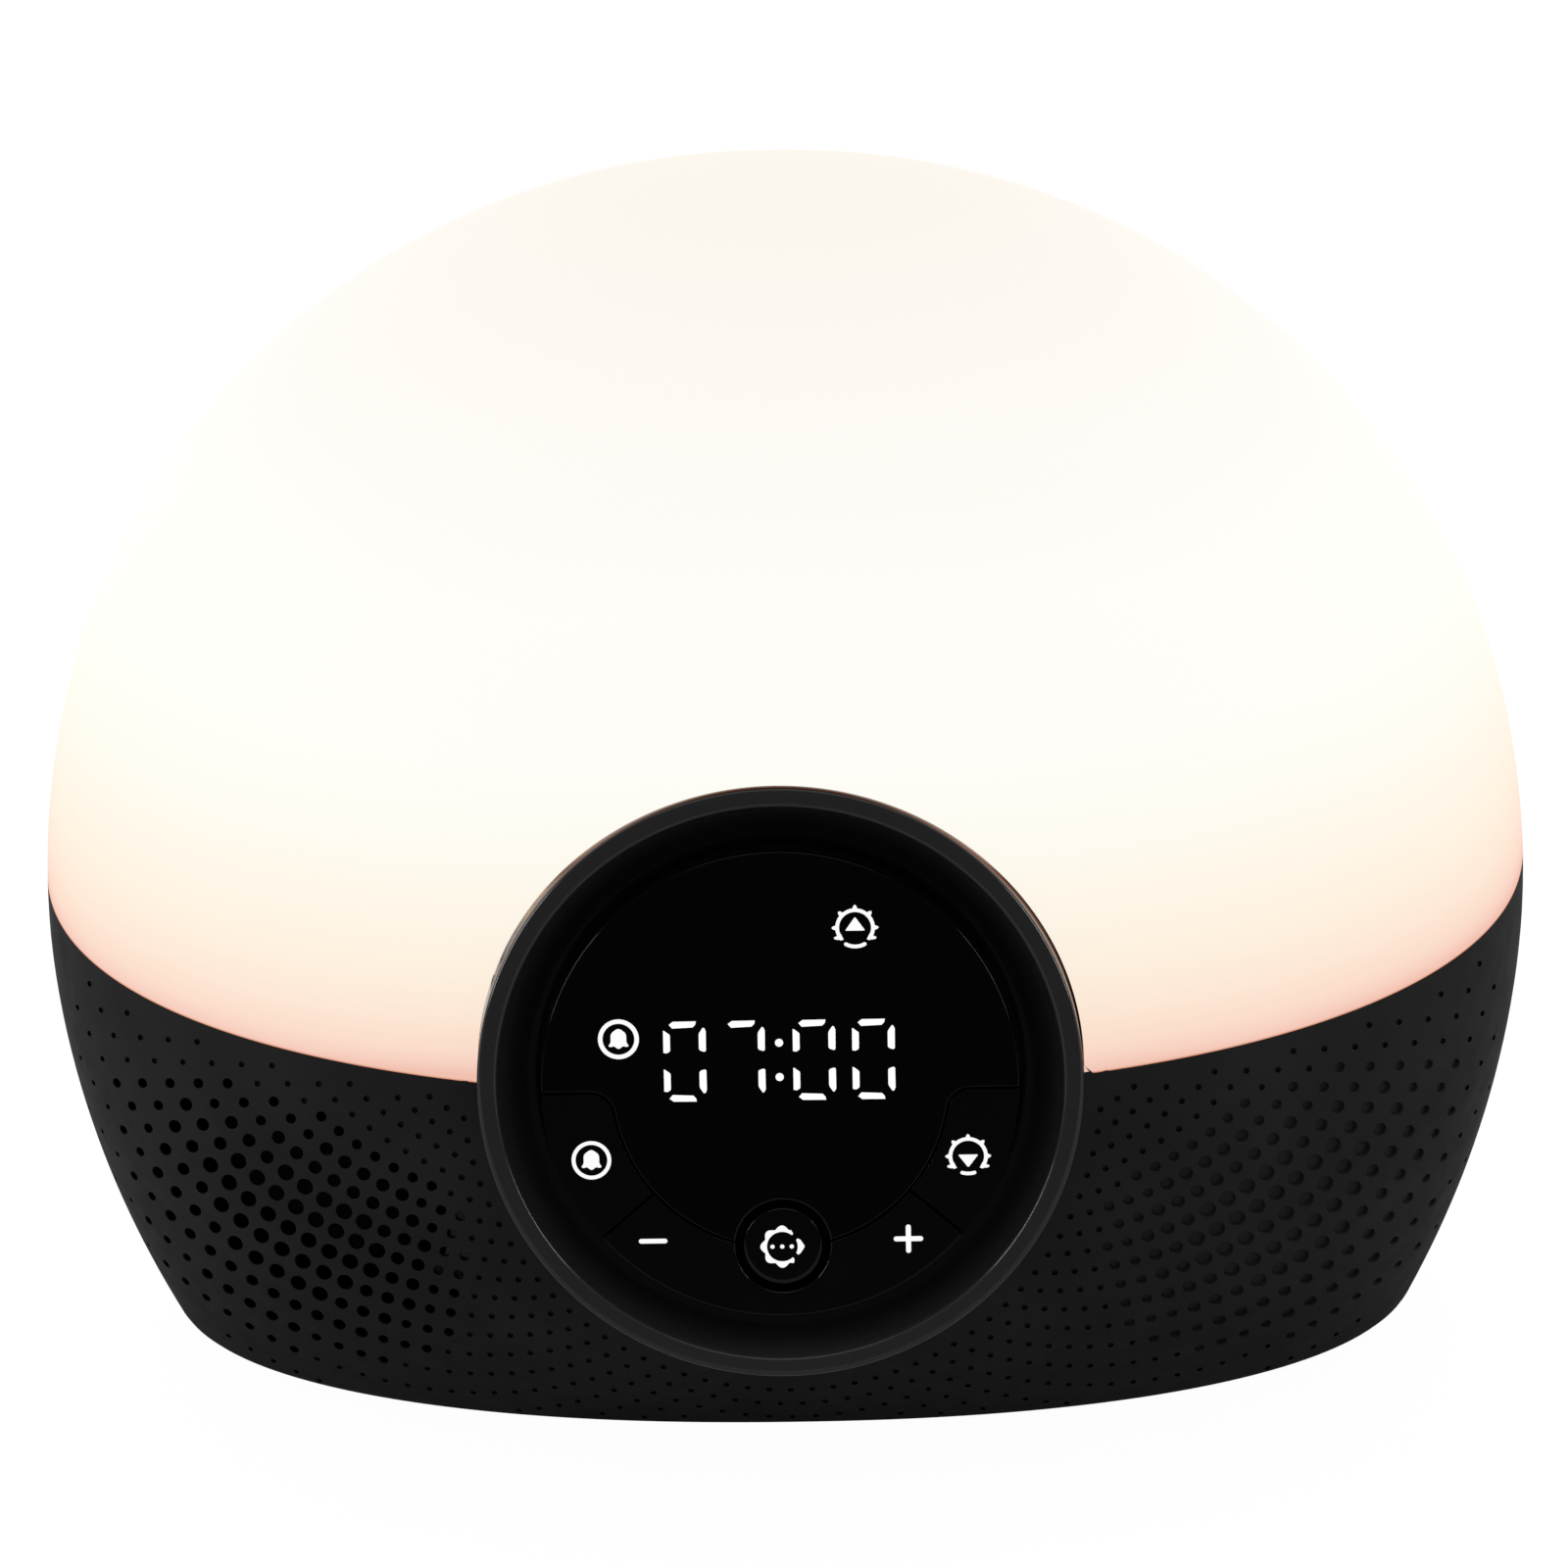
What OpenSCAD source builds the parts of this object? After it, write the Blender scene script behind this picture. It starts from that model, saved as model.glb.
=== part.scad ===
// Sunrise alarm clock: a lit dome over a perforated base, with a round tilted dial.
// +Z up, the dial faces -Y. The origin is on the table, under the middle of the overall box.

/* [Overall body] */
// Width across the widest part
body_w = 210; // [190:1:230]
// Height of the dome's top above the table
body_h = 181; // [165:1:195]
// Height of the widest section
widest_z = 70; // [64:1:73]
// Height of the seam between the dome and the base
seam_z = 77; // [75:1:84]
// Reach of the front from the widest line
front_d = 73.4; // [68:0.2:78]
// Reach of the back from the widest line
back_d = 36; // [34:0.5:44]
// Width of the base where it meets its bottom edge
base_w = 179.6; // [170:0.2:190]
// Front reach of the base at its bottom edge
base_front_d = 37.3; // [35:0.1:44]
// Back reach of the base at its bottom edge
base_back_d = 28; // [26:0.5:34]
// Fullness of the plan outline, 2 is an ellipse
plan_power = 2.2; // [2:0.05:2.4]
// Fullness of the dome's side outline
dome_power = 2.02; // [1.9:0.02:2.2]
// How late the base starts to draw in under the widest section
base_power = 1.82; // [1.6:0.02:2.1]
// Rounding of the base's bottom edge
edge_r = 4; // [2:0.5:5]

/* [Shells] */
// Wall of the dome and of the base
wall = 2.6; // [2:0.1:3.2]
// Height of the lip of the dome inside the base's rim
lap_h = 3.8; // [3:0.1:5]
// Width of the ledge that carries the lamp tray
ledge_w = 3; // [2:0.5:5]
// Thickness of the lamp tray
tray_t = 2; // [1.5:0.1:3]
// Thickness of the bottom plate
plate_t = 2; // [1.5:0.1:3]
// Height of the rubber feet below the base
foot_gap = 1; // [0.6:0.1:2]
// Radius of a rubber foot
foot_r = 7; // [5:0.5:9]

/* [Front ring] */
// Outer radius of the ring
ring_r = 40; // [38:0.05:42]
// Reach of the ring's centre in front of the widest line
ring_fwd = 77; // [75:0.1:79]
// Height of the ring's centre
ring_z = 80.5; // [78:0.1:83]
// Backward tilt of the dial
ring_tilt = 15.5; // [12:0.5:18]
// Width of the flat lip round the dish
lip_w = 2.65; // [2:0.05:3.5]
// Depth of the dish below the lip
dish_depth = 5.7; // [5:0.1:6.5]
// Thickness of the ring's outer wall
ring_wall = 1.8; // [1.4:0.1:2]

/* [Dial and keys] */
// Radius of the raised dial
dial_r = 31.5; // [31:0.1:32]
// Height of the dial's face above the lip
dial_rise = 0; // [-1:0.05:2]
// Thickness of the window and of the key caps
cap_t = 2; // [1.5:0.1:2.5]
// Inner radius of the band that the keys fill
band_r = 22.4; // [21.8:0.05:23]
// Height of the band's top edge, from the dial's centre
band_top = -0.9; // [-2:0.1:0]
// Corner radius at the top of the band
band_corner = 3; // [2:0.1:4]
// Angle below horizontal of the lines that part the keys
divider_angle = 40.5; // [38:0.5:43]
// Distance of the menu key below the dial's centre
menu_y = 21.95; // [21.5:0.05:22.4]
// Radius of the menu key
menu_r = 5.25; // [5:0.05:5.4]
// Radius of the hole round the menu key
menu_hole_r = 6.25; // [6.1:0.05:6.4]
// Gap between a key and what is beside it
key_gap = 0.3; // [0.25:0.05:0.4]
// Travel of the sliding keys
key_travel = 0.4; // [0.2:0.05:0.45]

/* [Grille] */
// Upward tilt of the direction along which the dot rings look round
grille_tilt = 30; // [26:1:34]
// Radius of the first ring of dots
grille_r = 42.6; // [42.5:0.1:44]
// Step from one ring of dots to the next
grille_step = 2.19; // [2.1:0.01:2.4]
// Number of dots in a full ring
grille_spokes = 89; // [72:1:96]
// Distance of a speaker patch's middle to the side of the dial's centre
patch_x = 69.3; // [67:0.1:71]
// Distance of a speaker patch's middle below the dial's centre
patch_y = 18.2; // [16:0.1:20]
// Slope of a patch's long side, falling towards the dial
patch_slope = 25.8; // [15:0.2:35]
// Half length of a patch
patch_a = 28; // [22:0.5:29]
// Half width of a patch
patch_b = 18.4; // [15:0.1:20]
// Diameter of the large holes
hole_large = 2.35; // [2:0.05:2.5]
// Diameter of the medium holes
hole_medium = 1.9; // [1.7:0.05:2.1]
// Diameter of the small holes
hole_small = 1.45; // [1.2:0.05:1.7]
// Depth of the closed holes on the other side
dimple_depth = 0.8; // [0.4:0.1:1]

/* [Inside] */
// Radius of the round opening for the power plug
inlet_r = 5.25; // [5:0.05:5.6]
// Radius of the speaker's flange
speaker_r = 20.5; // [18:0.5:21]
// Thickness of the circuit boards
board_t = 1.6; // [1.2:0.1:2]
// Radius of the small screws' shanks
screw_r = 1; // [0.9:0.05:1.2]
// Clearance between pieces that only need to pass
gap = 0.3; // [0.25:0.05:0.4]

/* [Hidden] */
$fn = 64;

// Colours
frost = [0.98, 0.95, 0.88];
black_plastic = [0.13, 0.13, 0.13];
gloss_black = [0.03, 0.03, 0.03];
white_plastic = [0.93, 0.93, 0.9];
board_green = [0.1, 0.35, 0.2];
steel = [0.7, 0.7, 0.72];
rubber_grey = [0.2, 0.2, 0.2];

// The widest line lies behind the middle of the overall box by this much
front_reach = ring_fwd + max(
    ring_r * sin(ring_tilt),
    dial_r * sin(ring_tilt) + dial_rise * cos(ring_tilt)
);
body_y = (front_reach - back_d) / 2;

// Faceting of the two moulded shells
around = 96;
dome_steps = 16;
base_steps = 9;
edge_steps = 3;

// Holes that a screw bites in, and holes that it passes
screw_hole_r = screw_r + 0.05;
screw_pass_r = screw_r + 0.2;

// Seam and rebates
lap_w = wall / 2;
lap_play = 0.1;
tray_top = seam_z - lap_h - lap_play;
ledge_top = tray_top - tray_t;
ledge_t = 2;
flange_w = 11.5;
rebate_w = 7.5;
plate_z = foot_gap + plate_t;
floor_z = plate_z + 2;
foot_recess = 0.6;
foot_x = 42;
foot_front_y = -21;
foot_back_y = 11;

// Heights in the dial's own frame, where 0 is the ring's lip and + is outwards
dial_back = dial_rise - cap_t;
carrier_back = dial_back - 1.65;
skirt_back = dial_back - 10.1;
guide_top = dial_back - 7.1;
guide_back = guide_top - 1.5;
snap_top = guide_back - gap;
snap_t = 1;
post_end = snap_top - snap_t;
// What each end of the rocker lifts when the other is pressed
rocker_lift = 0.36;
switch_gap = 0.8;
switch_top = post_end - switch_gap;
board_top = dial_back - 13.6;
board_back = board_top - board_t;
bezel_floor_t = 2.2;
bezel_floor_back = -dish_depth - bezel_floor_t;
carrier_flange_t = 1.2;
carrier_flange_top = bezel_floor_back - 0.2;
housing_top = carrier_flange_top - carrier_flange_t;
housing_back = board_top - 12;
housing_t = 1.6;
bezel_boss_end = -12.8;
ear_t = 2;
base_ear_x = 42;
base_ear_y = -14;
base_ear_r = 4;
pivot_h = dial_back - 2.8;
pivot_r = 0.8;
pivot_play = 0.06;
skirt_t = 1.4;
housing_r = dial_r + gap;
housing_out = housing_r + 1.4;
bezel_hole_r = dial_r + 0.55;
bezel_screw_at = 35.8;
dish_floor_r = bezel_hole_r + 0.65;
lip_in_r = ring_r - lip_w;
ring_cut_r = ring_r + gap;
// The ring's wall ends at this distance in front of the widest line, or behind the dish
ring_end = 62.5;

// Places on the dial, from its centre
alarm_key_at = [-25, -9.8];
sunset_key_at = [24.7, -9.6];
minus_at = [-17, -21];
plus_at = [16.8, -21];
menu_at = [0, -menu_y];
alarm_light_at = [-21.15, 6.65];
sunrise_light_at = [10.2, 21.3];
digit_x = [-12.5, -4.75, 4.5, 12.3];
digit_y = 3.45;
digit_w = 4.42;
digit_h = 10.95;
colon_x = -0.05;
colon_half = 2.33;
segment_w = 0.9;
display_x = -0.05;
display_w = 34;
display_d = 15;
display_front = dial_back - 1.2;
display_low = dial_back - 8.1;
spacer_wall = 2;

// ---------------------------------------------------------------- outline of the body

function sign_of(a) = a < 0 ? -1 : 1;

// Half of the plan's size at a height, drawn in by an inset
function dome_share(z, top) =
    pow(max(1 - pow((z - widest_z) / (top - widest_z), dome_power), 0), 1 / dome_power);
function undercut(z) = pow((widest_z - z) / (widest_z - foot_gap), base_power);
function edge_in(z) = let (up = z - foot_gap)
    up >= edge_r ? 0 : edge_r - sqrt(max(edge_r * edge_r - (edge_r - up) * (edge_r - up), 0));
function half(z, big, small, inset) = z >= widest_z
    ? (big - inset) * dome_share(z, body_h - inset)
    : big - (big - small) * undercut(z) - edge_in(z) - inset;
function half_w(z, inset = 0) = half(z, body_w / 2, base_w / 2, inset);
function half_front(z, inset = 0) = half(z, front_d, base_front_d, inset);
function half_back(z, inset = 0) = half(z, back_d, base_back_d, inset);

// One outline of the body at a height, as points in order round it
function outline_point(a, z, inset) = let (c = cos(a), s = sin(a)) [
    sign_of(c) * half_w(z, inset) * pow(abs(c), 2 / plan_power),
    sign_of(s) * (s < 0 ? half_front(z, inset) : half_back(z, inset)) * pow(abs(s), 2 / plan_power),
    z
];
function outline(z, inset) = [
    for (i = [0 : around - 1]) outline_point(i * 360 / around, z, inset)
];
function flat(points) = [for (p = points) [p.x, p.y]];

// A closed solid through outlines at [height, inset] levels, from the lowest up
module loft(levels) {
    last = len(levels) - 1;
    points = [for (level = levels) each outline(level[0], level[1])];
    sides = [
        for (j = [0 : last - 1], i = [0 : around - 1])
            let (a = j * around, b = a + around, k = (i + 1) % around)
            each [[a + i, b + i, b + k], [a + i, b + k, a + k]]
    ];
    bottom = [for (i = [0 : around - 1]) i];
    top = [for (i = [around - 1 : -1 : 0]) last * around + i];
    polyhedron(points, concat([bottom], sides, [top]));
}

// Levels of the dome between two heights, closer together towards the top
function dome_levels(from, top, inset) = let (
    start = asin((from - widest_z) / (top - widest_z)),
    stop = 88.6
) [
    for (i = [0 : dome_steps])
        [widest_z + (top - widest_z) * sin(start + (stop - start) * i / dome_steps), inset]
];
function even_levels(from, to, steps, inset) = [
    for (i = [0 : steps]) [from + (to - from) * i / steps, inset]
];
function edge_levels() = [
    for (i = [0 : edge_steps - 1]) [foot_gap + edge_r * (1 - cos(90 * i / edge_steps)), 0]
];

module plan(z, inset) {
    polygon(flat(outline(z, inset)));
}

// Everything but the dial's parts is drawn from the widest line
module in_body() {
    translate([0, body_y, 0]) children();
}

// The dial's own frame: x to the right, y up the dial, z out of it
module on_dial() {
    in_body() translate([0, -ring_fwd, ring_z]) rotate([90 - ring_tilt, 0, 0]) children();
}

module disc(r, from, to) {
    translate([0, 0, from]) cylinder(r = r, h = to - from);
}

module tube(inner, outer, from, to) {
    difference() {
        disc(outer, from, to);
        disc(inner, from - 1, to + 1);
    }
}

module slab(size_x, size_y, from, to) {
    translate([-size_x / 2, -size_y / 2, from]) cube([size_x, size_y, to - from]);
}

// A pan head screw along +z, its head below its seat at z = 0
module screw(length, head_r = 2, head_h = 1.5) {
    difference() {
        disc(head_r, -head_h, 0);
        slab(0.6, 2.4, -head_h - 1, -head_h + 0.6);
        slab(2.4, 0.6, -head_h - 1, -head_h + 0.6);
    }
    disc(screw_r, 0, length);
}

// ---------------------------------------------------------------- points on the skin

// Below 0 inside the body, above 0 outside it
function skin(p) =
    pow(abs(p.x) / half_w(p.z), plan_power)
    + pow(abs(p.y) / (p.y < 0 ? half_front(p.z) : half_back(p.z)), plan_power) - 1;
function crossing(out, in, n) = let (m = (out + in) / 2)
    n == 0 ? m : skin(m) > 0 ? crossing(m, in, n - 1) : crossing(out, m, n - 1);
function unit(v) = v / norm(v);
function skin_normal(p) = let (d = 0.1) unit([
    skin(p + [d, 0, 0]) - skin(p - [d, 0, 0]),
    skin(p + [0, d, 0]) - skin(p - [0, d, 0]),
    skin(p + [0, 0, d]) - skin(p - [0, 0, d])
]);

// Where a place on the grille's plane, seen along its axis, falls on the skin
grille_axis = [0, -cos(grille_tilt), sin(grille_tilt)];
function grille_place(r, a) =
    [0, -ring_fwd, ring_z] + r * [cos(a), sin(a) * sin(grille_tilt), sin(a) * cos(grille_tilt)];
function grille_inner(q) = q + grille_axis * q.y / cos(grille_tilt);
function on_skin(q) = crossing(q + grille_axis * 30, grille_inner(q), 20);

module along(direction) {
    rotate([0, acos(direction.z), atan2(direction.y, direction.x)]) children();
}

// Size of the hole for a dot, by how far it lies from the middle of the patch
function patch_share(r, a) = let (
    x = r * cos(a) + patch_x,
    y = r * sin(a) + patch_y,
    c = cos(patch_slope),
    s = sin(patch_slope)
) norm([(x * c - y * s) / patch_a, (x * s + y * c) / patch_b]);
function hole_d(share) = share < 0.45 ? hole_large : share < 0.76 ? hole_medium : hole_small;

// Dots of the left patch, as [point, normal, diameter]. Every other ring has a dot straight down,
// and the rings between are turned by half a step.
grille_rings = floor((patch_x + patch_a - grille_r) / grille_step);
grille_low = foot_gap + edge_r + 2;
grille_high = ledge_top - ledge_t - 1;
patch_dots = [
    for (k = [0 : grille_rings], j = [0 : grille_spokes / 3])
        let (
            r = grille_r + k * grille_step,
            a = -90 - (j + (k % 2) / 2) * 360 / grille_spokes,
            share = patch_share(r, a)
        )
        if (share < 1)
            let (q = grille_place(r, a))
            if (skin(grille_inner(q)) < 0)
                let (p = on_skin(q))
                if (p.z > grille_low && p.z < grille_high) [p, skin_normal(p), hole_d(share)]
];

module patch_holes(depth) {
    for (dot = patch_dots)
        translate(dot[0]) along(dot[1]) translate([0, 0, -depth])
            cylinder(d = dot[2], h = depth + 1, $fn = 24);
}

// ---------------------------------------------------------------- speaker place

speaker_point = on_skin(grille_place(norm([patch_x, patch_y]), -180 + atan2(patch_y, patch_x)));
speaker_normal = skin_normal(speaker_point);
speaker_seat = -9;
speaker_collar_t = 2;
speaker_screw_at = speaker_r + 2.2;
speaker_ears = [0, 120, 240];

module on_speaker() {
    in_body() translate(speaker_point) along(speaker_normal) children();
}

module speaker_collar() {
    translate([0, 0, speaker_seat]) linear_extrude(12 - speaker_seat) difference() {
        union() {
            circle(r = speaker_r);
            for (a = speaker_ears) rotate(a) translate([speaker_screw_at, 0]) circle(r = 2.8);
        }
        circle(r = speaker_r - speaker_collar_t);
    }
}

// ---------------------------------------------------------------- screw and jack places

// The four screws stand on the flange's inner edge
base_screw_angle = 41;
base_screw_at = [
    for (s = [-1, 1], a = [-180 + base_screw_angle, -base_screw_angle])
        let (p = outline_point(s * a, foot_gap + edge_r, flange_w)) [p.x, p.y]
];
base_boss_top = 16;
main_board_x = 10;
main_board_y = -1;
main_board_w = 84;
main_board_d = 42;
standoff_x = main_board_w / 2 - 4;
standoff_y = 11;
main_board_z = plate_z + 6;
main_board_top = main_board_z + board_t;
jack_x = 0;
jack_h = 11;
jack_z = main_board_top + jack_h / 2;
jack_front_y = 24;
jack_len = 13;
jack_bore_r = 2.85;
jack_pin_r = 1;
collar_end_y = jack_front_y + 0.5;
inlet_wall = 2.2;

// ---------------------------------------------------------------- shells

module diffuser_dome() color(frost) {
    lip_low = tray_top + lap_play;
    difference() {
        in_body() loft(concat(
            [[lip_low, lap_w + lap_play], [seam_z, lap_w + lap_play]],
            dome_levels(seam_z, body_h, 0)
        ));
        in_body() loft(concat(
            [[lip_low - 1, wall]],
            dome_levels(seam_z - 1, body_h - wall, wall)
        ));
        on_dial() disc(ring_cut_r, -45, 30);
    }
}

module base_hollow() {
    step = 0.02;
    difference() {
        loft(concat(
            even_levels(floor_z, ledge_top - ledge_t, base_steps, wall),
            [
                [ledge_top - ledge_t + step, wall + ledge_w],
                [ledge_top - step, wall + ledge_w],
                [ledge_top, wall],
                [tray_top, wall],
                [tray_top + step, lap_w],
                [seam_z + 1, lap_w]
            ]
        ));
        translate([0, -body_y, 0]) on_speaker() speaker_collar();
        translate([0, -body_y, 0]) on_dial() for (s = [-1, 1])
            translate([s * base_ear_x, base_ear_y, 0]) disc(base_ear_r, housing_back + ear_t, 20);
        for (p = base_screw_at) translate([p.x, p.y, 0]) disc(3.6, floor_z - 1, base_boss_top);
        translate([jack_x, collar_end_y, jack_z]) rotate([-90, 0, 0])
            disc(inlet_r + inlet_wall, 0, 40);
    }
}

module base_shell() color(black_plastic) {
    difference() {
        in_body() loft(concat(
            edge_levels(),
            even_levels(foot_gap + edge_r, seam_z, base_steps, 0)
        ));
        in_body() base_hollow();
        in_body() translate([0, 0, foot_gap - 1]) linear_extrude(floor_z - foot_gap + 2)
            plan(foot_gap + edge_r, flange_w);
        in_body() translate([0, 0, foot_gap - 1]) linear_extrude(plate_t + 1)
            plan(foot_gap + edge_r, rebate_w);
        on_dial() disc(ring_cut_r, -45, 30);
        on_dial() for (s = [-1, 1]) translate([s * base_ear_x, base_ear_y, 0])
            disc(screw_hole_r, housing_back + ear_t - 1, housing_back + ear_t + 6);
        in_body() for (p = base_screw_at) translate([p.x, p.y, 0])
            disc(screw_hole_r, foot_gap, base_boss_top - 2);
        in_body() translate([jack_x, collar_end_y - 1, jack_z]) rotate([-90, 0, 0])
            disc(inlet_r, 0, 40);
        on_speaker() for (a = speaker_ears) rotate(a) translate([speaker_screw_at, 0, 0])
            disc(screw_hole_r, speaker_seat - 1, speaker_seat + 3.5);
        in_body() patch_holes(wall + 1.5);
        in_body() mirror([1, 0, 0]) patch_holes(dimple_depth);
    }
}

module bottom_plate() color(black_plastic) {
    in_body() difference() {
        union() {
            translate([0, 0, foot_gap]) linear_extrude(plate_t) plan(foot_gap + edge_r, rebate_w + gap);
            main_board_corners() disc(2.8, plate_z - 0.5, main_board_z);
        }
        main_board_corners() disc(screw_hole_r, plate_z, main_board_z + 1);
        for (p = base_screw_at) translate([p.x, p.y, 0]) {
            disc(screw_pass_r, foot_gap - 1, plate_z + 1);
            disc(2.3, foot_gap - 1, foot_gap + 0.8);
        }
        for (x = [-foot_x, foot_x], y = [foot_front_y, foot_back_y])
            translate([x, y, 0]) disc(foot_r + 0.1, foot_gap - 1, foot_gap + foot_recess);
    }
}

module rubber_feet() color(rubber_grey) {
    foot_top = foot_gap + foot_recess;
    in_body() for (x = [-foot_x, foot_x], y = [foot_front_y, foot_back_y]) translate([x, y, 0])
        rotate_extrude() polygon([
            [0, 0], [foot_r - 0.7, 0], [foot_r, foot_top * 0.5], [foot_r, foot_top], [0, foot_top]
        ]);
}

module base_screws() color(steel) {
    in_body() for (p = base_screw_at) translate([p.x, p.y, foot_gap + 0.8]) screw(11, 2, 0.7);
}

// ---------------------------------------------------------------- lamp

lamp_board_w = 128;
lamp_board_d = 34;
lamp_board_y = 2;
led_rows = 3;
led_columns = 12;
slot_x = 16 - lamp_board_w / 2;
slot_y = -24;

module lamp_tray() color(white_plastic) {
    difference() {
        in_body() translate([0, 0, ledge_top]) linear_extrude(tray_t) plan(ledge_top, wall + gap);
        on_dial() disc(ring_cut_r + gap, -45, 30);
        in_body() translate([slot_x, slot_y, 0]) slab(14, 4, ledge_top - 1, tray_top + 1);
        in_body() for (x = [-1, 1], y = [-1, 1])
            translate([x * (lamp_board_w / 2 - 5), lamp_board_y + y * (lamp_board_d / 2 - 5), 0])
                disc(screw_hole_r, ledge_top - 1, tray_top + 1);
    }
}

module lamp_board() color(white_plastic) {
    in_body() translate([0, lamp_board_y, 0]) difference() {
        slab(lamp_board_w, lamp_board_d, tray_top, tray_top + board_t);
        for (x = [-1, 1], y = [-1, 1])
            translate([x * (lamp_board_w / 2 - 5), y * (lamp_board_d / 2 - 5), 0])
                disc(screw_pass_r, tray_top - 1, tray_top + board_t + 1);
    }
}

module lamp_leds() color([1, 0.85, 0.5]) {
    pitch_x = (lamp_board_w - 24) / (led_columns - 1);
    pitch_y = (lamp_board_d - 14) / (led_rows - 1);
    top = tray_top + board_t;
    in_body() translate([0, lamp_board_y, 0])
        for (i = [0 : led_columns - 1], j = [0 : led_rows - 1]) translate([
            (i - (led_columns - 1) / 2) * pitch_x, (j - (led_rows - 1) / 2) * pitch_y, 0
        ]) difference() {
            slab(3.5, 2.8, top, top + 1.2);
            disc(1.1, top + 0.8, top + 2);
        }
}

module lamp_board_screws() color(steel) {
    in_body() for (x = [-1, 1], y = [-1, 1]) translate([
        x * (lamp_board_w / 2 - 5), lamp_board_y + y * (lamp_board_d / 2 - 5), tray_top + board_t
    ]) rotate([180, 0, 0]) screw(board_t + tray_t + 1.5);
}

// A flat ribbon along points in the y-z plane, of constant thickness
module ribbon(points, w, t = 0.5) {
    rotate([90, 0, 90]) linear_extrude(w, center = true) union() {
        for (i = [0 : len(points) - 2]) let (a = points[i], b = points[i + 1], d = b - a)
            translate(a) rotate(atan2(d.y, d.x)) translate([0, -t / 2]) square([norm(d), t]);
        for (p = points) translate(p) circle(d = t, $fn = 24);
    }
}

module lamp_ribbon() color(white_plastic) {
    in_body() translate([slot_x, 0, 0]) ribbon([
        [lamp_board_y - lamp_board_d / 2 + 3, tray_top + board_t + 0.25],
        [slot_y + 4, tray_top + board_t + 0.25],
        [slot_y, tray_top + 0.5],
        [slot_y, main_board_top + 12],
        [slot_y + 9, main_board_top + 3]
    ], 10);
}

// ---------------------------------------------------------------- front ring and its housing

dish_points = 8;

module bezel_ring() color(black_plastic) {
    inner_wall_r = ring_r - ring_wall;
    soft = 0.6;
    bottom = -30;
    difference() {
        on_dial() {
            rotate_extrude($fn = 128) polygon(concat(
                [for (i = [0 : 3]) [ring_r - soft + soft * cos(30 * i), -soft + soft * sin(30 * i)]],
                [
                    for (i = [0 : dish_points]) let (a = 90 * (1 - i / dish_points))
                        [dish_floor_r + (lip_in_r - dish_floor_r) * sin(a), -dish_depth * cos(a)]
                ],
                [
                    [bezel_hole_r, -dish_depth],
                    [bezel_hole_r, bezel_floor_back],
                    [inner_wall_r - 3, bezel_floor_back],
                    [inner_wall_r - 1, bezel_floor_back + 1.8],
                    [inner_wall_r, bezel_floor_back + 1.8],
                    [inner_wall_r, bottom],
                    [ring_r, bottom]
                ]
            ));
        }
        intersection() {
            in_body() translate([-60, -ring_end, -20]) cube([120, 90, 200]);
            on_dial() disc(60, -60, bezel_floor_back);
        }
    }
    on_dial() for (a = [45 : 90 : 315]) rotate(a) translate([bezel_screw_at, 0, 0]) difference() {
        disc(2.5, bezel_boss_end, -dish_depth - 1);
        disc(screw_hole_r, bezel_boss_end - 1, bezel_boss_end + 5);
    }
}

module face_housing() color(black_plastic) {
    ear_top = bezel_boss_end;
    on_dial() difference() {
        union() {
            tube(housing_r, housing_out, housing_back, housing_top);
            disc(housing_out, housing_back, housing_back + housing_t);
            tube(dial_r - 2, housing_r + 0.2, board_back - 2.4, board_back);
            for (a = [45 : 90 : 315]) rotate(a) difference() {
                union() {
                    translate([bezel_screw_at, 0, 0]) disc(2.2, ear_top - ear_t, ear_top);
                    translate([housing_out, 0, 0]) slab(4, 4.4, ear_top - ear_t, ear_top);
                }
                disc(housing_r + 0.2, ear_top - ear_t - 1, ear_top + 1);
            }
            for (s = [-1, 1]) {
                translate([s * base_ear_x, base_ear_y, 0])
                    disc(base_ear_r, housing_back, housing_back + ear_t);
                translate([s * (base_ear_x + 24) / 2, base_ear_y, 0])
                    slab(base_ear_x - 24, 7, housing_back, housing_back + ear_t);
            }
        }
        for (a = [45 : 90 : 315]) rotate(a) translate([bezel_screw_at, 0, 0])
            disc(screw_pass_r, ear_top - ear_t - 1, ear_top + 1);
        for (s = [-1, 1]) translate([s * base_ear_x, base_ear_y, 0])
            disc(screw_pass_r, housing_back - 1, housing_back + ear_t + 1);
        translate([0, -22, 0]) slab(16, 4, housing_back - 1, housing_back + housing_t + 1);
    }
}

module bezel_screws() color(steel) {
    on_dial() for (a = [45 : 90 : 315]) rotate(a)
        translate([bezel_screw_at, 0, bezel_boss_end - ear_t]) screw(ear_t + 4.5, 1.9);
}

module housing_screws() color(steel) {
    on_dial() for (s = [-1, 1]) translate([s * base_ear_x, base_ear_y, housing_back])
        screw(ear_t + 5.5);
}

// ---------------------------------------------------------------- dial outlines

corner_y = band_top - band_corner;
corner_x = sqrt(pow(band_r + band_corner, 2) - corner_y * corner_y);

// The band of the keys on both sides of the dial, grown by an amount all round
module key_band(grow) {
    inner = band_r - grow;
    top = band_top + grow;
    round_r = band_corner + grow;
    foot = band_r * [corner_x, corner_y] / norm([corner_x, corner_y]) * (inner / band_r);
    difference() {
        circle(r = dial_r, $fn = 128);
        circle(r = inner, $fn = 128);
        translate([-50, top]) square([100, 50]);
        for (s = [-1, 1]) scale([s, 1]) difference() {
            polygon([[corner_x, corner_y], foot * 0.97, [inner - 3, top + 1], [corner_x, top + 1]]);
            translate([corner_x, corner_y]) circle(r = round_r + 0.04);
        }
    }
}

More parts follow.
